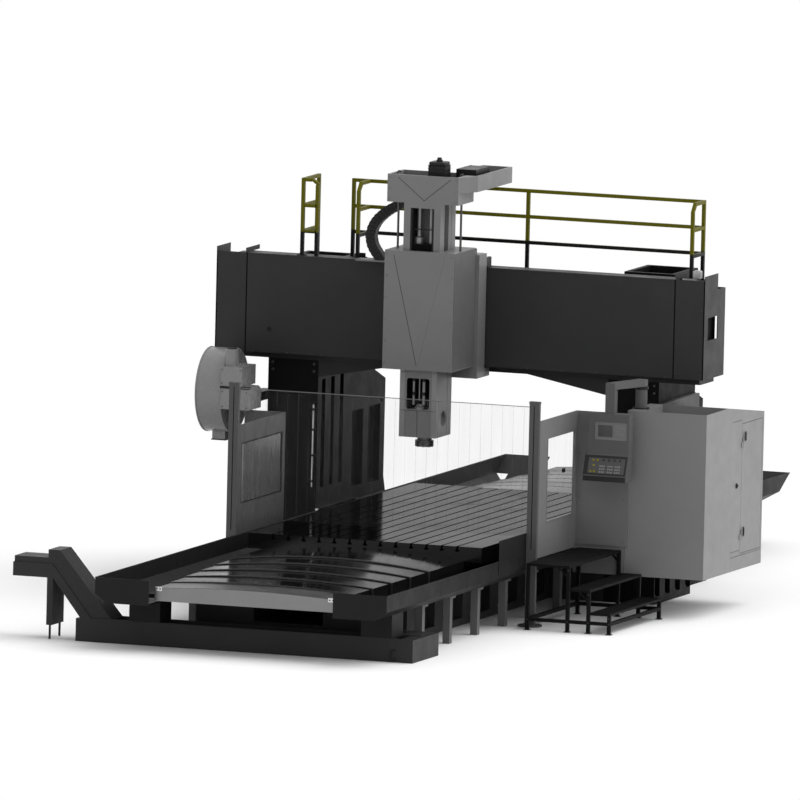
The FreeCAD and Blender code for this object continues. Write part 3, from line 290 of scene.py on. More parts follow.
AXIS_BASES = {"X": [(0, 1, 0), (0, 0, 1), (1, 0, 0)], "-X": [(0, 0, 1), (0, 1, 0), (-1, 0, 0)],
              "Y": [(0, 0, 1), (1, 0, 0), (0, 1, 0)], "-Y": [(1, 0, 0), (0, 0, 1), (0, -1, 0)],
              "Z": [(1, 0, 0), (0, 1, 0), (0, 0, 1)], "-Z": [(0, 1, 0), (1, 0, 0), (0, 0, -1)]}


def turned(profile, centre, axis="Z", steps=24):
    """A profile of (radius, height) pairs turned about an axis: radius times cosine and sine of
    the turn across the axis, height along it."""
    radius, height = np.asarray(profile, float).T
    turn = np.arange(steps) * (2 * np.pi / steps)
    local = np.stack([radius[:, None] * np.cos(turn), radius[:, None] * np.sin(turn),
                      np.broadcast_to(height[:, None], (len(radius), steps))], -1)
    rows = np.asarray(centre, float) + local @ np.asarray(AXIS_BASES[axis], float)
    return carried(rows)


def repeated(part, shifts):
    """One part at each of many places: its points plus each shift."""
    points, faces = part
    shifts = np.asarray(shifts, float)
    steps = np.arange(len(shifts)) * len(points)
    many = (points[None, :, :] + shifts[:, None, :]).reshape(-1, 3)
    return many, [(face[None, :, :] + steps[:, None, None]).reshape(-1, face.shape[1])
                  for face in faces]


def hex_bolts(places, axis, size):
    """Hexagon heads on washers, at places on a face, with the size of the thread."""
    head = [(size * 0.98, 0.0), (size * 0.98, size * 0.6), (size * 0.85, size * 0.7)]
    washer = [(size * 1.3, -size * 0.02), (size * 1.3, size * 0.15), (size * 1.25, size * 0.2)]
    head = turned(head, (0, 0, 0), axis, 6)
    head[0][:] += np.asarray(AXIS_BASES[axis][2]) * size * 0.2
    return [repeated(turned(washer, (0, 0, 0), axis, 12), places), repeated(head, places)]


def socket_screws(places, axis, size):
    """Round cap screws with a sunk socket: a profile turned out, up and back into the socket."""
    cap = [(size * 0.85, 0.0), (size * 0.85, size * 0.75), (size * 0.75, size * 0.85),
           (size * 0.45, size * 0.85), (size * 0.42, size * 0.4)]
    return [repeated(turned(cap, (0, 0, 0), axis, 12), places)]


CREASE = math.radians(35.0)


def piece(name, solids, material, body="machine"):
    """A mesh of many solids, smooth but for edges sharper than the crease, riding on a body."""
    points, faces, start = [], [], 0
    for solid_points, groups in solids:
        points.append(solid_points)
        for group in groups:
            faces.extend((group + start).tolist())
        start += len(solid_points)
    mesh = bpy.data.meshes.new(name)
    mesh.from_pydata(np.concatenate(points).tolist(), [], faces)
    mesh.materials.append(material)
    mesh.polygons.foreach_set("use_smooth", np.ones(len(mesh.polygons), bool))
    mesh.set_sharp_from_angle(angle=CREASE)
    made = bpy.data.objects.new(name, mesh)
    scene.collection.objects.link(made)
    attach(made, body)
    return made


PIPE_LEAN = np.array([0.013, 0.017, 0.011])


def pipe(path, radius, sides=10):
    """A round tube along a path: at each point radius times cosine and sine of the turn along
    two directions square to the path. The lean finds such a direction on a straight path too."""
    path = np.asarray(path, float)
    along = np.gradient(path, axis=0)
    along /= np.linalg.norm(along, axis=1)[:, None]
    spine = path[-1] - path[0] + PIPE_LEAN
    normal = np.cross(path[len(path) // 2] - path[0], spine)
    across = np.cross(along, normal / np.linalg.norm(normal))
    across /= np.linalg.norm(across, axis=1)[:, None]
    over = np.cross(along, across)
    turn = np.arange(sides) * (2 * np.pi / sides)
    rows = (path[:, None] + radius * np.cos(turn)[None, :, None] * across[:, None]
            + radius * np.sin(turn)[None, :, None] * over[:, None])
    return carried(rows)


cast_dark = enamel("cast_dark", grey(49), 0.45, 0.14, dust=0.05)
dress(cast_dark, "bed")
steel_bolt, tree, shader = node_material("bolt_steel")
bolt_place = object_place(tree)
tree.links.new(mixed(tree, spread(tree, noise(tree, bolt_place, 60.0), 0.0, 1.0),
                     grey(52), grey(86)), shader.inputs["Base Color"])
shader.inputs["Metallic"].default_value = 0.8
shader.inputs["Roughness"].default_value = 0.42
ANCHOR_X, ANCHOR_FIRST, ANCHOR_PITCH, FOOT_PLATE = 2.5, 0.56, 0.378, 0.09
anchors = [(side * ANCHOR_X, ANCHOR_FIRST + ANCHOR_PITCH * count, FOOT_PLATE)
           for side in (-1, 1) for count in range(4)]
studs = repeated(turned([(0.017, 0.0), (0.017, 0.075), (0.014, 0.079)], (0, 0, 0), "Z", 12), anchors)
piece("anchor_nuts", hex_bolts(anchors, "Z", 0.034) + [studs], steel_bolt)

# The chip troughs: folded black sheet on square legs. The flared wall ends in a rolled hem, and
# a raked sheet closes each trough behind. Flat splash sheets are fixed outside the walls.
trough_sheet = enamel("trough_sheet", grey(29), 0.46, 0.10, 0.0003, 0.1, 90.0, 0.01)
leg_paint = enamel("leg_paint", grey(92), 0.45, 0.2, 0.0003, 0.08, 90.0, 0.0)
dress(trough_sheet, "left_trough", "right_trough")
dress(leg_paint, "trough_legs")
TROUGH_SIDE, TROUGH_HALF, TROUGH_TOP, TROUGH_BEND = 1.885, 7.41, 0.890, 0.690
END_BACK, END_SHEET, END_OVERLAP = 7.400, 0.006, 0.003
FLOOR_END, WALL_END = (1.303, 1.715, 0.585, 6.825), (1.700, TROUGH_SIDE - END_OVERLAP, TROUGH_BEND, 7.03)
SPLASH_START, SPLASH_STOP, SPLASH_FOOT, SPLASH_SHEET = -3.4, -0.885, 0.73, 0.006
SPLASH_HEAD = {-1: 0.88, 1: 1.15}
hems, ends, splash = [], [], []
for side in (-1, 1):
    hem = [(side * (TROUGH_SIDE - 0.001), y, TROUGH_TOP - 0.004) for y in
           np.linspace(-TROUGH_HALF, TROUGH_HALF - 0.02, 16)]
    hems.append(pipe(hem, 0.009, 8))
    for start, stop, low, far in (FLOOR_END, WALL_END):
        centre = (side * (start + stop) / 2, (far + END_BACK) / 2, (low + TROUGH_TOP) / 2)
        slope = np.array((0.0, END_BACK - far, TROUGH_TOP - low))
        length = np.linalg.norm(slope)
        ends.append(turned_box(centre, (stop - start, END_SHEET, length), 0.001, slope / length))
    inner, outer = sorted((side * TROUGH_SIDE, side * (TROUGH_SIDE + SPLASH_SHEET)))
    splash.append(block((inner, SPLASH_START, SPLASH_FOOT), (outer, SPLASH_STOP, SPLASH_HEAD[side]), 0.001))
piece("trough_hems", hems, trough_sheet)
piece("trough_ends", ends, trough_sheet)
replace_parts(piece("splash_sheets", splash, trough_sheet), "splash_plates")


# The table: planed grey iron, its T slots milled end to end. It shows fine lengthwise tool
# marks and reflects the dark machine above it.
def ground_iron(name, color, rough=0.3, metal=0.75, along=(60.0, 2.0, 60.0), streak=0.16,
                texture=0.00025, edge=0.6):
    """Planed or rolled metal: fine marks drawn out along one axis, in colour and gloss. The edge
    value dims what it mirrors at a grazing angle."""
    made, tree, shader = node_material(name)
    marks = noise(tree, object_place(tree, along), 3.0, 3.0)
    clouds = noise(tree, object_place(tree), 1.3, 4.0)
    base = mixed(tree, spread(tree, marks, 0.0, 1.0), shaded(color, 1 - streak),
                 shaded(color, 1 + streak))
    tree.links.new(mixed(tree, spread(tree, clouds, 0.0, 0.35), base, shaded(color, 0.8)),
                   shader.inputs["Base Color"])
    tree.links.new(spread(tree, clouds, rough - 0.05, rough + 0.1), shader.inputs["Roughness"])
    shader.inputs["Metallic"].default_value = metal
    shader.inputs["Specular Tint"].default_value = (edge, edge, edge, 1.0)
    bump(tree, shader, marks, texture, 0.5)
    return made


table_iron = ground_iron("table_iron", grey(66), 0.10, 0.9, texture=0.00008, edge=0.16)
dress(table_iron, "table")
bright_steel = ground_iron("bright_steel", grey(196), 0.2, 1.0, (30.0, 30.0, 3.0))
dress(bright_steel, "chip_seals")
dark_steel = ground_iron("dark_steel", grey(84), 0.32, 0.8, (30.0, 30.0, 3.0))
dress(dark_steel, "balance_rods", "spindle")
rail_steel = ground_iron("rail_steel", grey(36), 0.45, 0.5, (3.0, 40.0, 40.0))
dress(rail_steel, "beam_guide_rails")

# The telescopic way covers: crowned boxes of rolled steel, each smaller than the next one toward
# the table. A dark wiper edges the outer end of each, with a row of rivets behind it, and two
# bright tabs are screwed to the corners of the first.
cover_steel = ground_iron("way_cover_steel", grey(92), 0.11, 0.95, (1.5, 40.0, 40.0), 0.08, 0.00005, 0.42)
cover_plate = ground_iron("cover_plate", grey(124), 0.3, 0.9, (40.0, 40.0, 40.0), 0.08, 0.0002)
dress(cover_steel, *("%s_cover_%d" % (end, number) for end in ("front", "rear")
                     for number in range(1, 7)))
dress(cover_plate, "front_cover_1", "rear_cover_1")
seal_rubber = enamel("seal_rubber", grey(26), 0.62, 0.2, 0.0004, 0.15, 140.0)
COVER_END, COVER_STEP, COVER_SKIRT = 7.265, 0.603, 0.632
WIPER_LENGTH, WIPER_PROUD, RIVET_LINE = 0.018, 0.0015, 0.038


def crowned_line(half, corner, crown, skirt, steps=31):
    """The outline of a crowned box in X and Z: up one side, over the crown
    z = corner + crown * (1 - (x / half)^2), and down the other."""
    x = np.linspace(-1.0, 1.0, steps)
    top = np.stack([x * half, corner + crown * (1 - x ** 2)], -1)
    return np.concatenate([[(-half, skirt)], top, [(half, skirt)]])


def crowned_strip(inner, outer, start, end):
    """A band between two crowned outlines, from start to end along Y."""
    rows = np.stack([np.stack([line[:, 0], np.full(len(line), y), line[:, 1]], -1)
                     for line, y in ((inner, start), (inner, end), (outer, end), (outer, start))], 1)
    return carried(rows)


for sign, end in ((-1, "front"), (1, "rear")):
    for index in range(6):
        half, corner, crown = 1.168 + 0.025 * index, 0.785 + 0.008 * index, 0.040 + 0.011 * index
        tip = sign * (COVER_END - COVER_STEP * index)
        body_name = ("machine" if index == 0 else "table" if index == 5
                     else "%s_cover_%d" % (end, index + 1))
        own = crowned_line(half, corner, crown, COVER_SKIRT)
        proud = crowned_line(half + WIPER_PROUD, corner + WIPER_PROUD, crown, COVER_SKIRT)
        solids = [crowned_strip(own - 0.001 * np.sign(own), proud,
                                *sorted((tip, tip - sign * WIPER_LENGTH)))]
        if index:
            below = crowned_line(half - 0.021, corner - 0.004, crown - 0.011, COVER_SKIRT)
            solids.append(crowned_strip(below, own, *sorted((tip + sign * 0.001, tip - sign * 0.003))))
        piece("%s_wiper_%d" % (end, index + 1), solids, dark_steel, body_name)
        rivets = [(x, tip - sign * RIVET_LINE, corner + crown * (1 - (x / half) ** 2) + 0.002)
                  for x in np.linspace(-0.96, 0.96, 25) * half]
        head = turned([(0.006, 0.0), (0.005, 0.0025), (0.0025, 0.0035)], (0, 0, 0), "Z", 8)
        piece("%s_wiper_rivets_%d" % (end, index + 1), [repeated(head, rivets)], cover_steel,
              body_name)
TAB_X, TAB_FACE, TAB_HALF, TAB_FOOT, TAB_HEAD = 1.118, -COVER_END - 0.006, 0.045, 0.752, 0.806
tabs = [block((x - TAB_HALF, TAB_FACE, TAB_FOOT), (x + TAB_HALF, TAB_FACE + 0.007, TAB_HEAD))
        for x in (-TAB_X, TAB_X)]
tab_screws = [(x + offset, TAB_FACE, (TAB_FOOT + TAB_HEAD) / 2) for x in (-TAB_X, TAB_X)
              for offset in (-0.022, 0.022)]
piece("cover_end_tabs", tabs, bright_steel)
piece("cover_end_screws", socket_screws(tab_screws, "-Y", 0.010), steel_bolt)

# The columns: fluted black castings with a cable conduit clipped to the left one's front, and
# dowelled joint bolts where the crossbeam sits on them.
column_black = enamel("column_black", grey(19), 0.5, 0.06, 0.0006, dust=0.03)
dress(column_black, "left_column", "right_column")
CONDUIT_X, CONDUIT_Y, CONDUIT_FOOT, CONDUIT_HEAD = -1.945, 0.427, 1.19, 2.215
conduit = pipe([(CONDUIT_X, CONDUIT_Y, z) for z in np.linspace(CONDUIT_FOOT, CONDUIT_HEAD, 8)], 0.014, 12)
clips = repeated(block((-0.034, -0.018, -0.014), (0.034, 0.019, 0.014), 0.003),
                 [(CONDUIT_X, CONDUIT_Y, z) for z in (1.26, 1.58, 1.90, 2.15)])
piece("column_conduit", [conduit], bright_steel)
piece("conduit_clips", [clips], column_black)
for sign, name in ((-1, "left"), (1, "right")):
    joint = [(sign * x, 0.445, z) for x in (1.96, 2.50) for z in np.arange(2.62, 2.75, 0.09)]
    piece(name + "_joint_bolts", hex_bolts(joint, "-Y", 0.014), steel_bolt)

# The crossbeam: its guide rails lie behind a folded charcoal cover with seams near both ends,
# a row of screws along the folds, a plugged hole at the left and a box at each end, whose
# plates show black edges.
dress(cast_dark, "crossbeam", "crossbeam_cover", "left_beam_end", "right_beam_end")
BEAM_FACE, BEAM_LOW, BEAM_HIGH = 0.245, 2.840, 4.070
joint_black = enamel("joint_black", grey(10), 0.7, 0.05)
FOLD_HEIGHTS = (BEAM_LOW + 0.014, BEAM_HIGH - 0.014)
seams = [block((x - 0.008, BEAM_FACE - 0.0015, BEAM_LOW), (x + 0.008, BEAM_FACE + 0.002, BEAM_HIGH),
               0.0006) for x in (-3.191, -2.800, 2.808, 3.191)]
piece("beam_cover_seams", seams, joint_black)
folds = [block((-2.78, BEAM_FACE - 0.002, z - 0.012), (2.79, BEAM_FACE + 0.002, z + 0.012), 0.0012)
         for z in FOLD_HEIGHTS]
piece("beam_cover_folds", folds, cast_dark)
beam_screws = [(x, BEAM_FACE - 0.002, z) for x in np.arange(-2.7, 2.75, 0.45) for z in FOLD_HEIGHTS]
piece("beam_cover_screws", socket_screws(beam_screws, "-Y", 0.008), steel_bolt)
plug = turned([(0.030, 0.0), (0.030, 0.004), (0.026, 0.006), (0.022, 0.004), (0.018, 0.0015)],
              (-2.488, BEAM_FACE, 3.134), "-Y", 28)
piece("beam_cover_plug", [plug], seal_rubber)
end_screws = [(sign * x, BEAM_FACE, z) for sign in (-1, 1) for x in (2.85, 3.16)
              for z in (2.90, 3.30, 3.70, 4.05)]
piece("beam_end_screws", socket_screws(end_screws, "-Y", 0.008), steel_bolt)

# The saddle: a grey casting that runs along the crossbeam. Two shallow lines scored in its front
# converge downward, and a plain plate and a bracket sit above. A thin sheet in a darker grey, with a
# fold behind it, covers its side: painted shade and a painted dark reflection of the crossbeam.
head_grey = enamel("head_grey", grey(115), 0.4, 0.3, 0.0004)
dress(head_grey, "saddle", "ram", "yoke", "chain_tray")
SADDLE_FACE, SADDLE_RIGHT, SADDLE_MIDDLE = -0.865, 0.308, -0.145


def scored(ends, width, proud=0.0012):
    """Thin dark lines on a face: flat bars from point to point that lie square to the third
    entry, the face's outward direction."""
    return [bar(np.asarray(start, float) - np.asarray(out, float) * 0.002, np.asarray(stop, float)
                - np.asarray(out, float) * 0.002, width, 0.002 + proud, out, 0.0004)
            for start, stop, out in ends]


TOWARD_VIEW, TOWARD_RIGHT = (0, -1, 0), (1, 0, 0)
score_grey = enamel("score_grey", grey(52), 0.6, 0.1)
left_line, right_line = [((SADDLE_MIDDLE + side * 0.334, SADDLE_FACE, 4.290),
                          (SADDLE_MIDDLE + side * 0.008, SADDLE_FACE, 2.924), TOWARD_VIEW)
                         for side in (-1, 1)]
fold = ((SADDLE_RIGHT, -0.035, 2.90), (SADDLE_RIGHT, -0.035, 4.33), TOWARD_RIGHT)
piece("saddle_scores", scored([left_line, fold], 0.006), score_grey, "saddle")
# This grey draws the fainter scored line, and on the saddle's side sheet it is painted shade.
faint_and_shade_grey = enamel("faint_and_shade_grey", grey(92), 0.5, 0.2)
piece("saddle_faint_score", scored([right_line], 0.003, 0.0006), faint_and_shade_grey, "saddle")
# The side sheet is painted shade: its darker grey stands for the crossbeam's shade and dark reflection on
# the saddle's side, not for a darker paint.
painted_side_shade = block((SADDLE_RIGHT - 0.001, -0.855, 2.885), (SADDLE_RIGHT + 0.003, -0.045, 4.334), 0.001)
piece("saddle_painted_side_shade", [painted_side_shade], faint_and_shade_grey, "saddle")
plate_metal = ground_iron("plate_metal", grey(186), 0.35, 0.4, (30.0, 30.0, 3.0))
piece("saddle_plate", [block((SADDLE_RIGHT - 0.001, -0.02, 4.14), (SADDLE_RIGHT + 0.003, 0.17, 4.262),
                             0.001)], plate_metal, "saddle")
motor_black = enamel("motor_black", grey(24), 0.42, 0.22, 0.0003)
dress(motor_black, "magazine_bracket", "spindle_motor", "drive_box")
bracket = [block((SADDLE_RIGHT - 0.001, 0.205, 4.035), (SADDLE_RIGHT + 0.045, 0.390, 4.195), 0.005),
           block((SADDLE_RIGHT + 0.03, 0.22, 4.060), (SADDLE_RIGHT + 0.060, 0.375, 4.085), 0.004)]
piece("saddle_bracket", bracket, motor_black, "saddle")
rim = [(SADDLE_MIDDLE + side * 0.425, SADDLE_FACE, z) for side in (-1, 1)
       for z in np.arange(2.95, 4.32, 0.27)]
piece("saddle_screws", socket_screws(rim, "-Y", 0.011), head_grey, "saddle")

# The ram: a square column in the saddle. Seams and paler strips divide its front, steel rods stand
# in its round-cornered window and the drive parts in its upper bay, and a groove runs down its side.
RAM_FACE, RAM_LEFT, RAM_RIGHT, RAM_FOOT = -0.795, -0.385, 0.095, 2.042
WINDOW_LOW, WINDOW_HIGH, WINDOW_CORNER = (-0.318, 2.366), (0.028, 2.782), 0.028
ROD_Y, LINER_BACK, LINER_FRONT = -0.700, -0.604, -0.790
PLATE_PROUD, PLATE_EDGE = 0.00015, 0.0002
BAY_LEFT, BAY_RIGHT, BAY_FOOT, BAY_HEAD = -0.298, 0.008, 4.134, 4.870
lines = [((-0.299, RAM_FACE, 2.90), (-0.299, RAM_FACE, 4.118), TOWARD_VIEW),
         ((0.009, RAM_FACE, 2.90), (0.009, RAM_FACE, 4.118), TOWARD_VIEW),
         ((-0.299, RAM_FACE, 4.118), (0.009, RAM_FACE, 4.118), TOWARD_VIEW),
         ((-0.150, RAM_FACE, RAM_FOOT), (-0.150, RAM_FACE, WINDOW_LOW[1]), TOWARD_VIEW),
         ((RAM_LEFT + 0.012, RAM_FACE, WINDOW_LOW[1]), (RAM_RIGHT - 0.012, RAM_FACE, WINDOW_LOW[1]),
          TOWARD_VIEW),
         ((RAM_RIGHT, -0.395, 2.06), (RAM_RIGHT, -0.395, 4.90), TOWARD_RIGHT)]
piece("ram_seams", scored(lines, 0.006), score_grey, "ram")
slot_line = [((-0.275, RAM_FACE, 2.874), (0.020, RAM_FACE, 2.874), TOWARD_VIEW)]
piece("ram_slot", scored(slot_line, 0.022), joint_black, "ram")


def rounded(low, high, radius, steps=6):
    """A rectangle with round corners in X and Z: each corner's centre plus radius times cosine
    and sine of the turn."""
    (x0, z0), (x1, z1) = np.add(low, radius), np.subtract(high, radius)
    turn = np.linspace(0.0, np.pi / 2, steps)
    centres = np.repeat([(x1, z1), (x0, z1), (x0, z0), (x1, z0)], steps, axis=0)
    turns = np.concatenate([turn + quarter * np.pi / 2 for quarter in range(4)])
    return centres + radius * np.stack([np.cos(turns), np.sin(turns)], -1)


def frame_plate(plate, hole, back, front):
    """A plate round a hole, both outlines in X and Z: four rows, the hole's and the plate's
    outline at the back and the front, and the last joined to the first."""
    rows = np.stack([np.stack([line[:, 0], np.full(len(line), y), line[:, 1]], -1)
                     for line, y in ((hole, back), (plate, back), (plate, front), (hole, front))])
    return rows.reshape(-1, 3), [quads(5, rows.shape[1]) % (4 * rows.shape[1])]


plate = rounded(WINDOW_LOW, WINDOW_HIGH, 0.003)
hole = rounded((-0.293, 2.382), (0.003, 2.766), WINDOW_CORNER)
window = frame_plate(plate, hole, RAM_FACE + 0.001, RAM_FACE - PLATE_PROUD)
piece("ram_window_frame", [window], head_grey, "ram")
liner = [block((left, front, 2.378), (right, back, 2.770)) for left, right, front, back in
         ((-0.298, 0.008, LINER_BACK, -0.597), (-0.2985, -0.294, LINER_FRONT, -0.600),
          (0.004, 0.0085, LINER_FRONT, -0.600))]
piece("ram_window_liner", liner, joint_black, "ram")
rod_steel = ground_iron("rod_steel", grey(132), 0.35, 0.7, (30.0, 30.0, 3.0))
pale_plates = [block((low, RAM_FACE - PLATE_PROUD, 2.040), (high, RAM_FACE + 0.001, 2.862), PLATE_EDGE)
               for low, high in ((-0.383, -0.322), (0.032, 0.093))]
pale_grey = enamel("pale_grey", grey(136), 0.4, 0.3, 0.0003)
piece("ram_edge_plates", pale_plates, pale_grey, "ram")
rods = [turned([(radius, foot), (radius, 2.770)], (x, ROD_Y, 0.0), "Z", 20)
        for x, radius, foot in ((-0.235, 0.018, 2.43), (-0.160, 0.010, 2.50), (-0.100, 0.024, 2.43))]
rods.append(turned([(0.070, 2.379), (0.070, 2.405), (0.045, 2.425), (0.045, 2.440)],
                   (-0.145, ROD_Y, 0.0), "Z", 28))
collars = [turned([(0.030, 0.0), (0.033, 0.004), (0.033, 0.036), (0.030, 0.040)],
                  (x, ROD_Y, z), "Z", 20) for x in (-0.235, -0.100) for z in (2.55, 2.72)]
piece("window_rods", rods, rod_steel, "ram")
piece("window_collars", collars, motor_black, "ram")
bay_floor = block((-0.297, -0.780, BAY_FOOT), (0.007, -0.560, 4.425), 0.004)
piece("bay_floor", [bay_floor], joint_black, "ram")
bay = [turned([(0.062, BAY_FOOT), (0.062, 4.50), (0.030, 4.515), (0.030, BAY_HEAD)],
              (-0.225, -0.66, 0.0), "Z", 28),
       turned([(0.034, BAY_FOOT), (0.034, BAY_HEAD)], (-0.075, -0.64, 0.0), "Z", 28)]
piece("bay_cylinders", bay, rod_steel, "ram")
braces = [block((BAY_LEFT, -0.745, 4.600), (BAY_RIGHT, -0.733, 4.612), 0.002)]
braces += [block((left, -0.790, BAY_FOOT), (left + 0.022, -0.560, BAY_HEAD), 0.003)
           for left in (BAY_LEFT, BAY_RIGHT - 0.022)]
piece("bay_braces", braces, motor_black, "ram")
corner_screws = [(x, RAM_FACE, z) for x in (-0.345, 0.055)
                 for z in (2.10, 2.33, 2.84, 3.15, 3.5, 3.85, 4.05)]
piece("ram_screws", socket_screws(corner_screws, "-Y", 0.008), head_grey, "ram")

# The spindle nose: a flange held by eight cap screws, with two keys beside the tool bore.
NOSE_X, NOSE_Y, NOSE_LOW, SCREW_RING, KEY_REACH = -0.145, -0.52, 1.903, 0.098, 0.060
turn = np.arange(8) * (math.pi / 4) + 0.2
ring = [(NOSE_X + SCREW_RING * math.cos(angle), NOSE_Y + SCREW_RING * math.sin(angle), NOSE_LOW)
        for angle in turn]
keys = [block((NOSE_X + side * KEY_REACH - 0.013, NOSE_Y - 0.012, NOSE_LOW - 0.012),
              (NOSE_X + side * KEY_REACH + 0.013, NOSE_Y + 0.012, NOSE_LOW + 0.004), 0.002)
        for side in (-1, 1)]
piece("spindle_screws", socket_screws(ring, "-Z", 0.008), steel_bolt, "spindle")
piece("spindle_keys", keys, bright_steel, "spindle")

# The yoke across the top of the ram: two scored lines meet in a V on its front. It holds the
# spindle motor and the drive box, and the balance rods hang from lock nuts in it.
lines = [((-0.469, RAM_FACE, 5.241), (-0.125, RAM_FACE, 4.966), TOWARD_VIEW),
         ((-0.125, RAM_FACE, 4.966), (0.218, RAM_FACE, 5.247), TOWARD_VIEW)]
piece("yoke_scores", scored(lines, 0.007), score_grey, "ram")
MOTOR_LOW, MOTOR_HIGH = np.array((-0.147, -0.625)), np.array((0.078, -0.415))
MOTOR_FOOT, HOOD = 4.9625, 0.008
motor = [block((*MOTOR_LOW, MOTOR_FOOT), (*MOTOR_HIGH, 5.395), 0.012),
         block((*(MOTOR_LOW + HOOD), 5.390), (*(MOTOR_HIGH - HOOD), 5.435), 0.010),
         turned([(0.040, 5.43), (0.040, 5.455), (0.028, 5.462), (0.028, 5.480), (0.022, 5.484)],
                (-0.035, -0.52, 0.0), "Z", 24)]
motor += [block((*(MOTOR_LOW - 0.003), z), (*(MOTOR_HIGH + 0.003), z + 0.006), 0.002)
          for z in (5.30, 5.345, 5.388)]
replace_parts(piece("spindle_motor_case", motor, motor_black, "ram"), "spindle_motor")
nuts = hex_bolts([(x, -0.52, 5.276) for x in (-0.555, 0.265)], "Z", 0.022)
piece("balance_rod_nuts", nuts, steel_bolt, "ram")
lid_screws = [(x, y, 5.330) for x in (0.128, 0.348) for y in (-0.28, -0.05, 0.18)]
piece("drive_box_screws", socket_screws(lid_screws, "Z", 0.007), steel_bolt, "ram")
yoke_screws = [(x, RAM_FACE, z) for x in (-0.58, 0.29) for z in (4.97, 5.10, 5.24)]
piece("yoke_screws", socket_screws(yoke_screws, "-Y", 0.010), head_grey, "ram")

# The cable chain: black plastic links in a C that opens to the right, each with two side plates
# and a pin. Its foot stands on the tray and its head runs in behind the yoke.
chain_plastic = enamel("chain_plastic", grey(20), 0.45, 0.25, 0.0002)
dress(chain_plastic, "cable_chain")
bend = np.array([(-0.640, 4.850), (-0.700, 4.830), (-0.793, 4.783), (-0.880, 4.735), (-0.950, 4.685),
                 (-1.015, 4.625), (-1.068, 4.560), (-1.105, 4.480), (-1.122, 4.390), (-1.108, 4.300),
                 (-1.070, 4.225), (-1.020, 4.160), (-0.985, 4.108)])
steps = np.concatenate([[0.0], np.cumsum(np.linalg.norm(np.diff(bend, axis=0), axis=1))])
stations = np.linspace(0.0, steps[-1], 40)
line = np.stack([np.interp(stations, steps, bend[:, 0]), np.interp(stations, steps, bend[:, 1])], -1)
slope = np.gradient(line, axis=0)
slope /= np.linalg.norm(slope, axis=1)[:, None]
out = np.stack([slope[:, 1], -slope[:, 0]], -1)
CHAIN_HALF, CHAIN_NEAR, CHAIN_FAR = 0.058, 0.044, 0.156
corners = [(line + out * CHAIN_HALF * side, y) for side, y in ((1, CHAIN_NEAR), (1, CHAIN_FAR),
                                                              (-1, CHAIN_FAR), (-1, CHAIN_NEAR))]
core = carried(np.stack([np.stack([at[:, 0], np.full(len(at), y), at[:, 1]], -1)
                         for at, y in corners], 1))
LINK_SIZE, PIN_PROFILE = (0.122, 0.008, 0.044), [(0.011, 0.0), (0.011, 0.004), (0.008, 0.006)]
links, pins = [], []
for (x, z), (along_x, along_z), (out_x, out_z) in zip(line[1::2], slope[1::2], out[1::2]):
    for y, reach, face in ((CHAIN_NEAR - 0.003, -0.003, "-Y"), (CHAIN_FAR + 0.003, 0.003, "Y")):
        along, across = (along_x, 0, along_z), (out_x, 0, out_z)
        links.append(turned_box((x, y, z), LINK_SIZE, 0.002, along, across))
        pins.append(turned(PIN_PROFILE, (x, y + reach, z), face, 12))
chain = piece("chain_links", [core] + links + pins, chain_plastic, "saddle")
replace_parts(chain, "cable_chain")

# The tool magazine on the left column: a drum with rolled rims and a screwed rim ring, a motor
# with a pin on top, a flanged foot and a changer housing under a dark lid.
drum_grey = enamel("drum_grey", grey(122), 0.26, 0.6, 0.0003)
dress(drum_grey, "magazine_drum", "tool_changer")
DRUM_LEFT, DRUM_RIGHT, DRUM_Y, DRUM_Z, DRUM_RADIUS = -3.040, -2.706, -0.35, 2.421, 0.520
rims = [turned([(DRUM_RADIUS - 0.02, 0.0), (DRUM_RADIUS + 0.006, 0.0), (DRUM_RADIUS + 0.008, 0.003),
                (DRUM_RADIUS + 0.006, 0.018), (DRUM_RADIUS - 0.02, 0.020)], (x, DRUM_Y, DRUM_Z), "X", 72)
        for x in (DRUM_LEFT - 0.001, DRUM_RIGHT - 0.019)]
piece("drum_rims", rims, drum_grey)
turn = np.arange(24) * (math.pi / 12)
ring = [(DRUM_LEFT, DRUM_Y + 0.47 * math.cos(angle), DRUM_Z + 0.47 * math.sin(angle)) for angle in turn]
piece("drum_screws", socket_screws(ring, "-X", 0.009), steel_bolt)
hub = turned([(0.14, 0.0), (0.14, 0.014), (0.12, 0.020), (0.07, 0.020), (0.07, 0.034), (0.05, 0.038)],
             (DRUM_LEFT, DRUM_Y, DRUM_Z), "-X", 40)
piece("drum_hub", [hub], motor_black)
pin = [turned([(0.020, 0.0), (0.020, 0.095), (0.016, 0.100)], (-2.700, -0.60, 2.764), "Z", 16),
       turned([(0.060, 0.0), (0.060, 0.010), (0.045, 0.016)], (-2.626, -0.700, 2.974), "Z", 24)]
piece("magazine_pin", pin, motor_black)
lid = [block((-2.712, -0.878, 2.497), (-2.322, -0.812, 2.528), 0.004)]
piece("changer_lid", lid, motor_black)
foot = [block((-2.970, -0.447, 1.799), (-2.776, -0.253, 1.812), 0.003)]
piece("drum_foot_flange", foot, motor_black)
housing_screws = [(x, -0.870, z) for x in (-2.69, -2.45) for z in (2.56, 2.73)]
housing_screws += [(x, -0.870, z) for x in (-2.68, -2.36) for z in (2.27, 2.46)]
piece("housing_screws", socket_screws(housing_screws, "-Y", 0.009), steel_bolt)

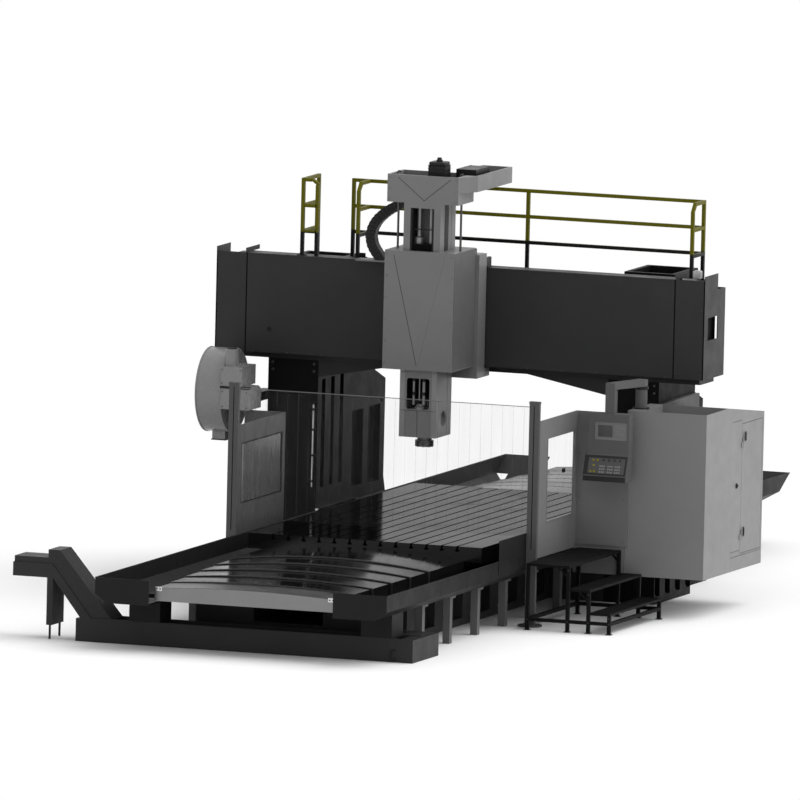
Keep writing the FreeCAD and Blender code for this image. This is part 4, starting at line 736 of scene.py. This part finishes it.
# The deck railing: square tube, olive above and black below, with a return at its left end. It
# stands on bolted foot plates, and a ribbed grey box stands at its right foot.
railing_paint = enamel("railing_paint", (0.105, 0.100, 0.002), 0.45, 0.1, 0.0003, dust=0.0)
tree = railing_paint.node_tree
shader = tree.nodes["Principled BSDF"]
olive = shader.inputs["Base Color"].links[0].from_socket
upright = tree.nodes.new("ShaderNodeSeparateXYZ")
tree.links.new(object_place(tree), upright.inputs[0])
above = spread(tree, upright.outputs["Z"], 0.0, 1.0, 4.355, 4.375)
tree.links.new(mixed(tree, above, grey(16), olive), shader.inputs["Base Color"])
dress(railing_paint, "deck_railing", "ladder_guard")
CORNER_X, CORNER_Y, TUBE_HALF, DECK, REAR_DECK = -1.925, 0.326, 0.021, 4.070, 4.010
TUBE_NEAR, TUBE_FAR, LADDER_LEFT = CORNER_Y - TUBE_HALF, CORNER_Y + TUBE_HALF, -2.090
ladder_bars = [block((CORNER_X - TUBE_HALF, TUBE_NEAR, DECK), (CORNER_X + TUBE_HALF, TUBE_FAR, 4.950),
                     0.003),
               bar((CORNER_X, CORNER_Y, 4.945), (CORNER_X - 0.085, CORNER_Y, 5.008), 0.042, 0.036,
                   (0.6, 0, 0.8), 0.003)]
ladder_bars += [block((LADDER_LEFT, TUBE_NEAR, z - 0.042), (right, TUBE_FAR, z), 0.003)
                for right, z in ((CORNER_X, 4.710), (CORNER_X, 4.390), (CORNER_X - 0.075, 5.030))]
piece("ladder_return", ladder_bars, railing_paint)
rear_feet = [(x, 0.879, REAR_DECK) for x in (-1.647, 0.642, 2.937, -2.110)]
near_feet = [(-1.435, 0.472, DECK), (2.937, 0.472, DECK), (-2.110, CORNER_Y, DECK)]
plate = block((-0.055, -0.045, 0.0), (0.055, 0.045, 0.009), 0.002)
piece("railing_feet", [repeated(plate, rear_feet + near_feet)], railing_paint)
bolts = [(x + offset, y, z + 0.009) for x, y, z in rear_feet + near_feet for offset in (-0.040, 0.040)]
piece("railing_bolts", hex_bolts(bolts, "Z", 0.007), steel_bolt)
angle_foot = [block((-1.412, 0.452, 4.070), (-1.322, 0.460, 4.130), 0.002),
              block((-1.412, 0.452, 4.070), (-1.322, 0.520, 4.078), 0.002)]
piece("railing_angle", angle_foot, railing_paint)
ribs = [block((2.968, 0.425, 4.068), (3.070, 0.505, 4.168), 0.006)]
ribs += [block((x - 0.004, 0.420, 4.075), (x + 0.004, 0.510, 4.171), 0.0015)
         for x in np.linspace(2.984, 3.054, 5)]
piece("railing_box", ribs, plate_metal)

# The guards beside the table: square posts on bolted discs, sheet frames with glazed panes, and a
# folded curtain of clear sheet between the posts.
guard_paint = enamel("guard_paint", grey(78), 0.42, 0.28, 0.0003)
guard_pale = enamel("guard_pale", grey(108), 0.42, 0.28, 0.0003)
dress(guard_paint, "guard_posts", "left_guard_frame")
dress(guard_pale, "operator_guard", "return_panel")


def clear_sheet(name, tint, weight, rough=0.05):
    """A clear sheet seen as thin: a low alpha that grows a little in slow streaks."""
    made, tree, shader = node_material(name)
    shader.inputs["Base Color"].default_value = (*tint, 1.0)
    streaks = noise(tree, object_place(tree, (6.0, 6.0, 0.6)), 2.0, 3.0)
    tree.links.new(spread(tree, streaks, weight * 0.7, weight * 1.3), shader.inputs["Alpha"])
    shader.inputs["Roughness"].default_value = rough
    shader.inputs["Specular IOR Level"].default_value = 0.3
    return made


guard_window = clear_sheet("guard_window", grey(84), 0.05)
smoked_window = clear_sheet("smoked_window", grey(92), 0.80, 0.12)
dress(guard_window, "front_glass", "operator_guard_glass")
dress(smoked_window, "left_guard_glass")
CURTAIN_Y, CURTAIN_LOW, CURTAIN_HIGH = -2.411, 1.100, 2.700
fold_sheet = clear_sheet("curtain_fold", grey(110), 0.14)
folds = [block((x - 0.003, CURTAIN_Y - 0.001, CURTAIN_LOW), (x + 0.003, CURTAIN_Y + 0.001, CURTAIN_HIGH),
               0.0004) for x in np.arange(-1.82, 1.88, 0.14)]
piece("curtain_folds", folds, fold_sheet)
rail = [block((-1.895, CURTAIN_Y - 0.003, CURTAIN_HIGH - 0.003),
              (1.895, CURTAIN_Y + 0.011, CURTAIN_HIGH + 0.005), 0.002)]
piece("curtain_rail", rail, guard_pale)
clip = [block((-0.052, CURTAIN_Y - 0.012, 2.648), (-0.022, CURTAIN_Y + 0.001, 2.696), 0.002)]
piece("curtain_clip", clip, motor_black)
POST_X, POST_Y, POST_RING = 1.958, -2.405, 0.115
turn = np.arange(6) * (math.pi / 3) + math.pi / 6
discs = [(side * POST_X + POST_RING * math.cos(angle), POST_Y + POST_RING * math.sin(angle), 0.020)
         for side in (-1, 1) for angle in turn]
piece("post_bolts", hex_bolts(discs, "Z", 0.009), steel_bolt)
grooves = [((side * POST_X, POST_Y - 0.030, 0.95), (side * POST_X, POST_Y - 0.030, 2.72), TOWARD_VIEW)
           for side in (-1, 1)]
piece("post_grooves", scored(grooves, 0.010), joint_black)


def border(x, low, high, width, depth):
    """A bead around a pane that faces along X: four cut-edge bars that meet at the corners."""
    (y0, z0), (y1, z1) = low, high
    return [block((x, y0 - width, z0 - width), (x + depth, y1 + width, z0), 0.002),
            block((x, y0 - width, z1), (x + depth, y1 + width, z1 + width), 0.002),
            block((x, y0 - width, z0), (x + depth, y0, z1), 0.002),
            block((x, y1, z0), (x + depth, y1 + width, z1), 0.002)]


bead = border(1.984, (-1.975, 1.255), (-0.975, 2.270), 0.016, 0.006)
piece("operator_pane_bead", bead, guard_pale)
beads = border(-1.961, (-2.105, 1.255), (-0.665, 1.975), 0.016, 0.006)
piece("pane_beads", beads, seal_rubber)
latch = [block((1.968, -1.400, 1.795), (1.992, -1.330, 1.845), 0.004)]
piece("guard_latch", latch, motor_black)
skirt = [block((1.957, -0.8805, 0.510), (2.618, -0.8705, 0.870), 0.002)]
piece("return_panel_skirt", skirt, guard_pale)
panel_screws = [(x, -0.895, z) for x in (2.02, 2.60) for z in (0.92, 1.45, 1.98, 2.45)]
piece("panel_screws", socket_screws(panel_screws, "-Y", 0.007), steel_bolt)

# The electrical cabinet beside the right column: pale sheet with raised seams, a hinged door on
# its outer side with two flat handles and a round lock beside it.
cabinet_paint = enamel("cabinet_paint", grey(120), 0.4, 0.3, 0.0003, 0.05)
dress(cabinet_paint, "cabinet", "cabinet_door")
mount_paint = enamel("mount_paint", grey(70), 0.45, 0.2)
dress(mount_paint, "cabinet_mount")
CABINET_SIDE, DOOR_FACE = 3.650, 3.665
lines = [((CABINET_SIDE, 0.12, z), (CABINET_SIDE, end, z), TOWARD_RIGHT)
         for end, z in ((0.46, 2.362), (0.46, 0.745), (1.25, 0.680))]
piece("cabinet_seams", scored(lines, 0.007, 0.002), mount_paint)
HANDLE_Y, HANDLE_HEIGHTS = 0.560, (2.150, 0.970)
handles = [block((DOOR_FACE + back, HANDLE_Y - half, z - reach),
                 (DOOR_FACE + front, HANDLE_Y + half, z + reach), edge) for z in HANDLE_HEIGHTS
           for back, front, half, reach, edge in ((-0.001, 0.005, 0.020, 0.060, 0.002),
                                                  (0.004, 0.012, 0.012, 0.045, 0.003))]
piece("door_handles", handles, motor_black, "cabinet_door")
lock = turned([(0.032, 0.0), (0.032, 0.010), (0.026, 0.014), (0.012, 0.014), (0.012, 0.022),
               (0.009, 0.024)], (CABINET_SIDE, 0.300, 1.56), "X", 28)
piece("cabinet_lock", [lock], motor_black)
mount_bolts = [(2.590, 0.445, z) for z in np.arange(0.70, 2.45, 0.28)]
piece("mount_bolts", hex_bolts(mount_bolts, "-Y", 0.012), steel_bolt)

# The operator's console: a grey moulded box with a screen and a keypad, above a sloping shelf of
# keys, knobs and yellow buttons. It hangs from an arm that turns on a round post.
console_plastic = enamel("console_plastic", grey(84), 0.5, 0.25, 0.0003, 0.04, 300.0)
dress(console_plastic, "console_post", "console_arm", "console")
SCREEN_Y = -1.200
bezel = enamel("bezel_grey", grey(112), 0.35, 0.3, 0.0002)
(left, low), (right, high) = (2.326, 2.214), (2.723, 2.417)
edges = [((left, SCREEN_Y, z), (right, SCREEN_Y, z), TOWARD_VIEW) for z in (low, high)]
edges += [((x, SCREEN_Y, low), (x, SCREEN_Y, high), TOWARD_VIEW) for x in (left, right)]
face = block((left, SCREEN_Y - 0.002, low), (right, SCREEN_Y + 0.001, high), 0.001)
piece("console_bezel", scored(edges, 0.014, 0.006) + [face], bezel, "console")
screen_glass, tree, shader = node_material("screen_glass")
screen_glow = noise(tree, object_place(tree), 6.0)
tree.links.new(mixed(tree, spread(tree, screen_glow, 0.0, 1.0), grey(52), grey(68)),
               shader.inputs["Base Color"])
shader.inputs["Roughness"].default_value = 0.3
piece("console_screen", [block((2.359, SCREEN_Y - 0.005, 2.245), (2.548, SCREEN_Y, 2.388), 0.001)],
      screen_glass, "console")
key_pale = enamel("key_pale", grey(128), 0.45, 0.3, 0.0002)
key_dark = enamel("key_dark", grey(30), 0.4, 0.3, 0.0002)
key_yellow = enamel("key_yellow", (0.22, 0.20, 0.01), 0.4, 0.2, 0.0002)
key = block((-0.0075, -0.004, -0.0065), (0.0075, 0.002, 0.0065), 0.0015)
pad = [(x, SCREEN_Y - 0.003, z) for x in np.linspace(2.592, 2.698, 6) for z in np.linspace(2.278, 2.388, 6)]
piece("console_keypad", [repeated(key, pad)], key_pale, "console")
SHELF_LOW, SHELF_HIGH = np.array([-1.290, 1.780]), np.array([-1.200, 2.030])
slope = (SHELF_HIGH - SHELF_LOW) / np.linalg.norm(SHELF_HIGH - SHELF_LOW)
SHELF_OUT = np.array([0.0, -slope[1], slope[0]])


def on_shelf(x, share):
    """A place on the sloping shelf: its foot plus a share of the way up its slope."""
    y, z = SHELF_LOW + (SHELF_HIGH - SHELF_LOW) * share
    return np.array([x, y, z])


def shelf_part(x, share, width, length, height, edge=0.002):
    """A cut-edge block that stands square on the shelf."""
    centre = on_shelf(x, share) + SHELF_OUT * (height / 2 - 0.001)
    return turned_box(centre, (width, length, height), edge, SHELF_OUT, (1, 0, 0))


shelf_grey = enamel("shelf_grey", grey(78), 0.5, 0.2, 0.0002)
piece("shelf_rim", [shelf_part(2.480, 0.47, 0.552, 0.248, 0.006, 0.005)], key_dark, "console")
piece("shelf_panel", [shelf_part(2.495, 0.44, 0.470, 0.196, 0.009, 0.002)], shelf_grey, "console")
yellow_places = [(2.318, 0.70), (2.373, 0.70), (2.330, 0.45), (2.300, 0.16), (2.345, 0.16)]
yellow = [shelf_part(x, share, 0.026, 0.026, 0.016, 0.005) for x, share in yellow_places]
piece("shelf_buttons", yellow, key_yellow, "console")
knobs = [shelf_part(x, 0.72, 0.024, 0.024, 0.024, 0.006) for x in (2.453, 2.525, 2.597, 2.669)]
piece("shelf_knobs", knobs, key_dark, "console")
rows = [shelf_part(x, share, 0.018, 0.020, 0.014) for start in (2.415, 2.520, 2.615)
        for x in (start, start + 0.026, start + 0.052) for share in (0.14, 0.28, 0.42)]
piece("shelf_keys", rows, key_pale, "console")
lips = [block((2.205, -1.293, 1.703), (2.755, -1.288, 1.765), 0.002)]
piece("shelf_lip", lips, key_dark, "console")
ARM_POST = (2.700, -0.600, 0.0)
collar = [turned([(0.072, 2.790), (0.086, 2.796), (0.086, 2.822), (0.074, 2.8295)], ARM_POST, "Z", 36),
          turned([(0.072, 2.551), (0.105, 2.551), (0.105, 2.563), (0.098, 2.568), (0.072, 2.568)],
                 ARM_POST, "Z", 36)]
piece("console_post_rings", collar, motor_black)

# The operator's steps: black tread plate on angle-iron legs, with gussets at the leg heads and
# bolted feet. The tread is a pattern of small raised lozenges.
platform_black = enamel("platform_black", grey(19), 0.55, 0.05, 0.0005, dust=0.0)
dress(platform_black, "step_platform")
TREADS = ((2.021, 2.585, 0.820), (2.585, 2.855, 0.540), (2.855, 3.125, 0.260))
STEP_FRONT, STEP_BACK, TREAD_PITCH, BRACE_BOLT = -2.765, -0.885, 0.055, 0.131
lozenges = []
for low, high, top in TREADS:
    x, y = np.meshgrid(np.arange(low + 0.04, high - 0.03, TREAD_PITCH),
                       np.arange(STEP_FRONT + 0.04, STEP_BACK - 0.03, TREAD_PITCH))
    turns = (np.add.outer(np.arange(x.shape[0]), np.arange(x.shape[1])) % 2).astype(bool)
    flat = np.full(x.shape, top)
    for chosen, across in ((turns, (1, 1, 0)), (~turns, (1, -1, 0))):
        stud = turned_box((0, 0, 0.0008), (0.034, 0.009, 0.0028), 0.001, (0, 0, 1), across)
        lozenges.append(repeated(stud, np.stack([x[chosen], y[chosen], flat[chosen]], -1)))
piece("tread_lozenges", lozenges, platform_black)
gussets, step_bolts = [], []
for low, high, top in TREADS:
    for y in (STEP_FRONT + 0.004, STEP_BACK - 0.004):
        if top > 0.3:
            gussets.append(bar((high - 0.040, y, top - 0.150), (high - 0.150, y, top - 0.034), 0.007,
                               0.022, (0.7, 0, 0.7), 0.001))
    step_bolts += [(high - 0.02, STEP_FRONT, z) for z in (top - 0.06, BRACE_BOLT)]
piece("step_gussets", gussets, platform_black)
step_bolts.append((2.042, STEP_FRONT, BRACE_BOLT))
piece("step_bolts", hex_bolts(step_bolts, "-Y", 0.007), steel_bolt)
step_feet = [(x, y, 0.0) for x in (2.042, 2.564, 2.834, 3.104)
             for y in (STEP_FRONT + 0.021, STEP_BACK - 0.021)]
pad = block((-0.036, -0.036, 0.0), (0.036, 0.036, 0.010), 0.002)
piece("step_feet", [repeated(pad, step_feet)], seal_rubber)

# The chip conveyor across the front: a hinged steel belt in its channel, a lidded tank with a
# clip on its face, and a lift whose covers are held by hexagon screws.
conveyor_sheet = enamel("conveyor_sheet", grey(46), 0.46, 0.12, 0.0003, 0.1, 90.0, 0.01)
dress(conveyor_sheet, "chip_conveyor", "conveyor_lift")
BELT_Y, BELT_LOW = (-6.678, -6.302), 0.052
slats = repeated(block((-0.026, BELT_Y[0], -0.004), (0.026, BELT_Y[1], 0.002), 0.0015),
                 [(x, 0.0, BELT_LOW) for x in np.arange(-2.12, 1.76, 0.058)])
cleats = repeated(block((-0.004, BELT_Y[0] + 0.01, 0.0), (0.004, BELT_Y[1] - 0.01, 0.042), 0.0015),
                  [(x, 0.0, BELT_LOW) for x in np.arange(-2.05, 1.75, 0.29)])
runners = [block((-2.15, y - 0.008, 0.038), (1.775, y + 0.008, BELT_LOW - 0.002), 0.002)
           for y in (-6.66, -6.32)]
piece("conveyor_belt", [slats, cleats] + runners, plate_metal)
clip = pipe([(1.749, -6.694, 0.146), (1.749, -6.712, 0.146), (1.700, -6.716, 0.146), (1.690, -6.716, 0.12),
             (1.690, -6.716, 0.06), (1.700, -6.716, 0.034), (1.749, -6.712, 0.034),
             (1.749, -6.694, 0.034)], 0.007, 10)
piece("tank_clip", [clip], motor_black)
channel_rims = [block((-2.18, y - 0.007, 0.268), (1.80, y + 0.007, 0.292), 0.003)
                for y in (-6.690, -6.290)]
piece("channel_rims", channel_rims, conveyor_sheet)
lift_screws = [(x, -6.695, z) for x, z in ((-2.60, 0.90), (-2.40, 0.66), (-2.20, 0.40), (-2.68, 1.00),
                                           (-2.30, 0.80), (-2.05, 0.50))]
piece("lift_screws", hex_bolts(lift_screws, "-Y", 0.007), steel_bolt)
tank_lid = [block((1.25, -6.235, 0.279), (1.92, -5.815, 0.289), 0.003),
            block((1.52, -6.04, 0.288), (1.65, -6.01, 0.306), 0.004)]
piece("tank_lid", tank_lid, conveyor_sheet)
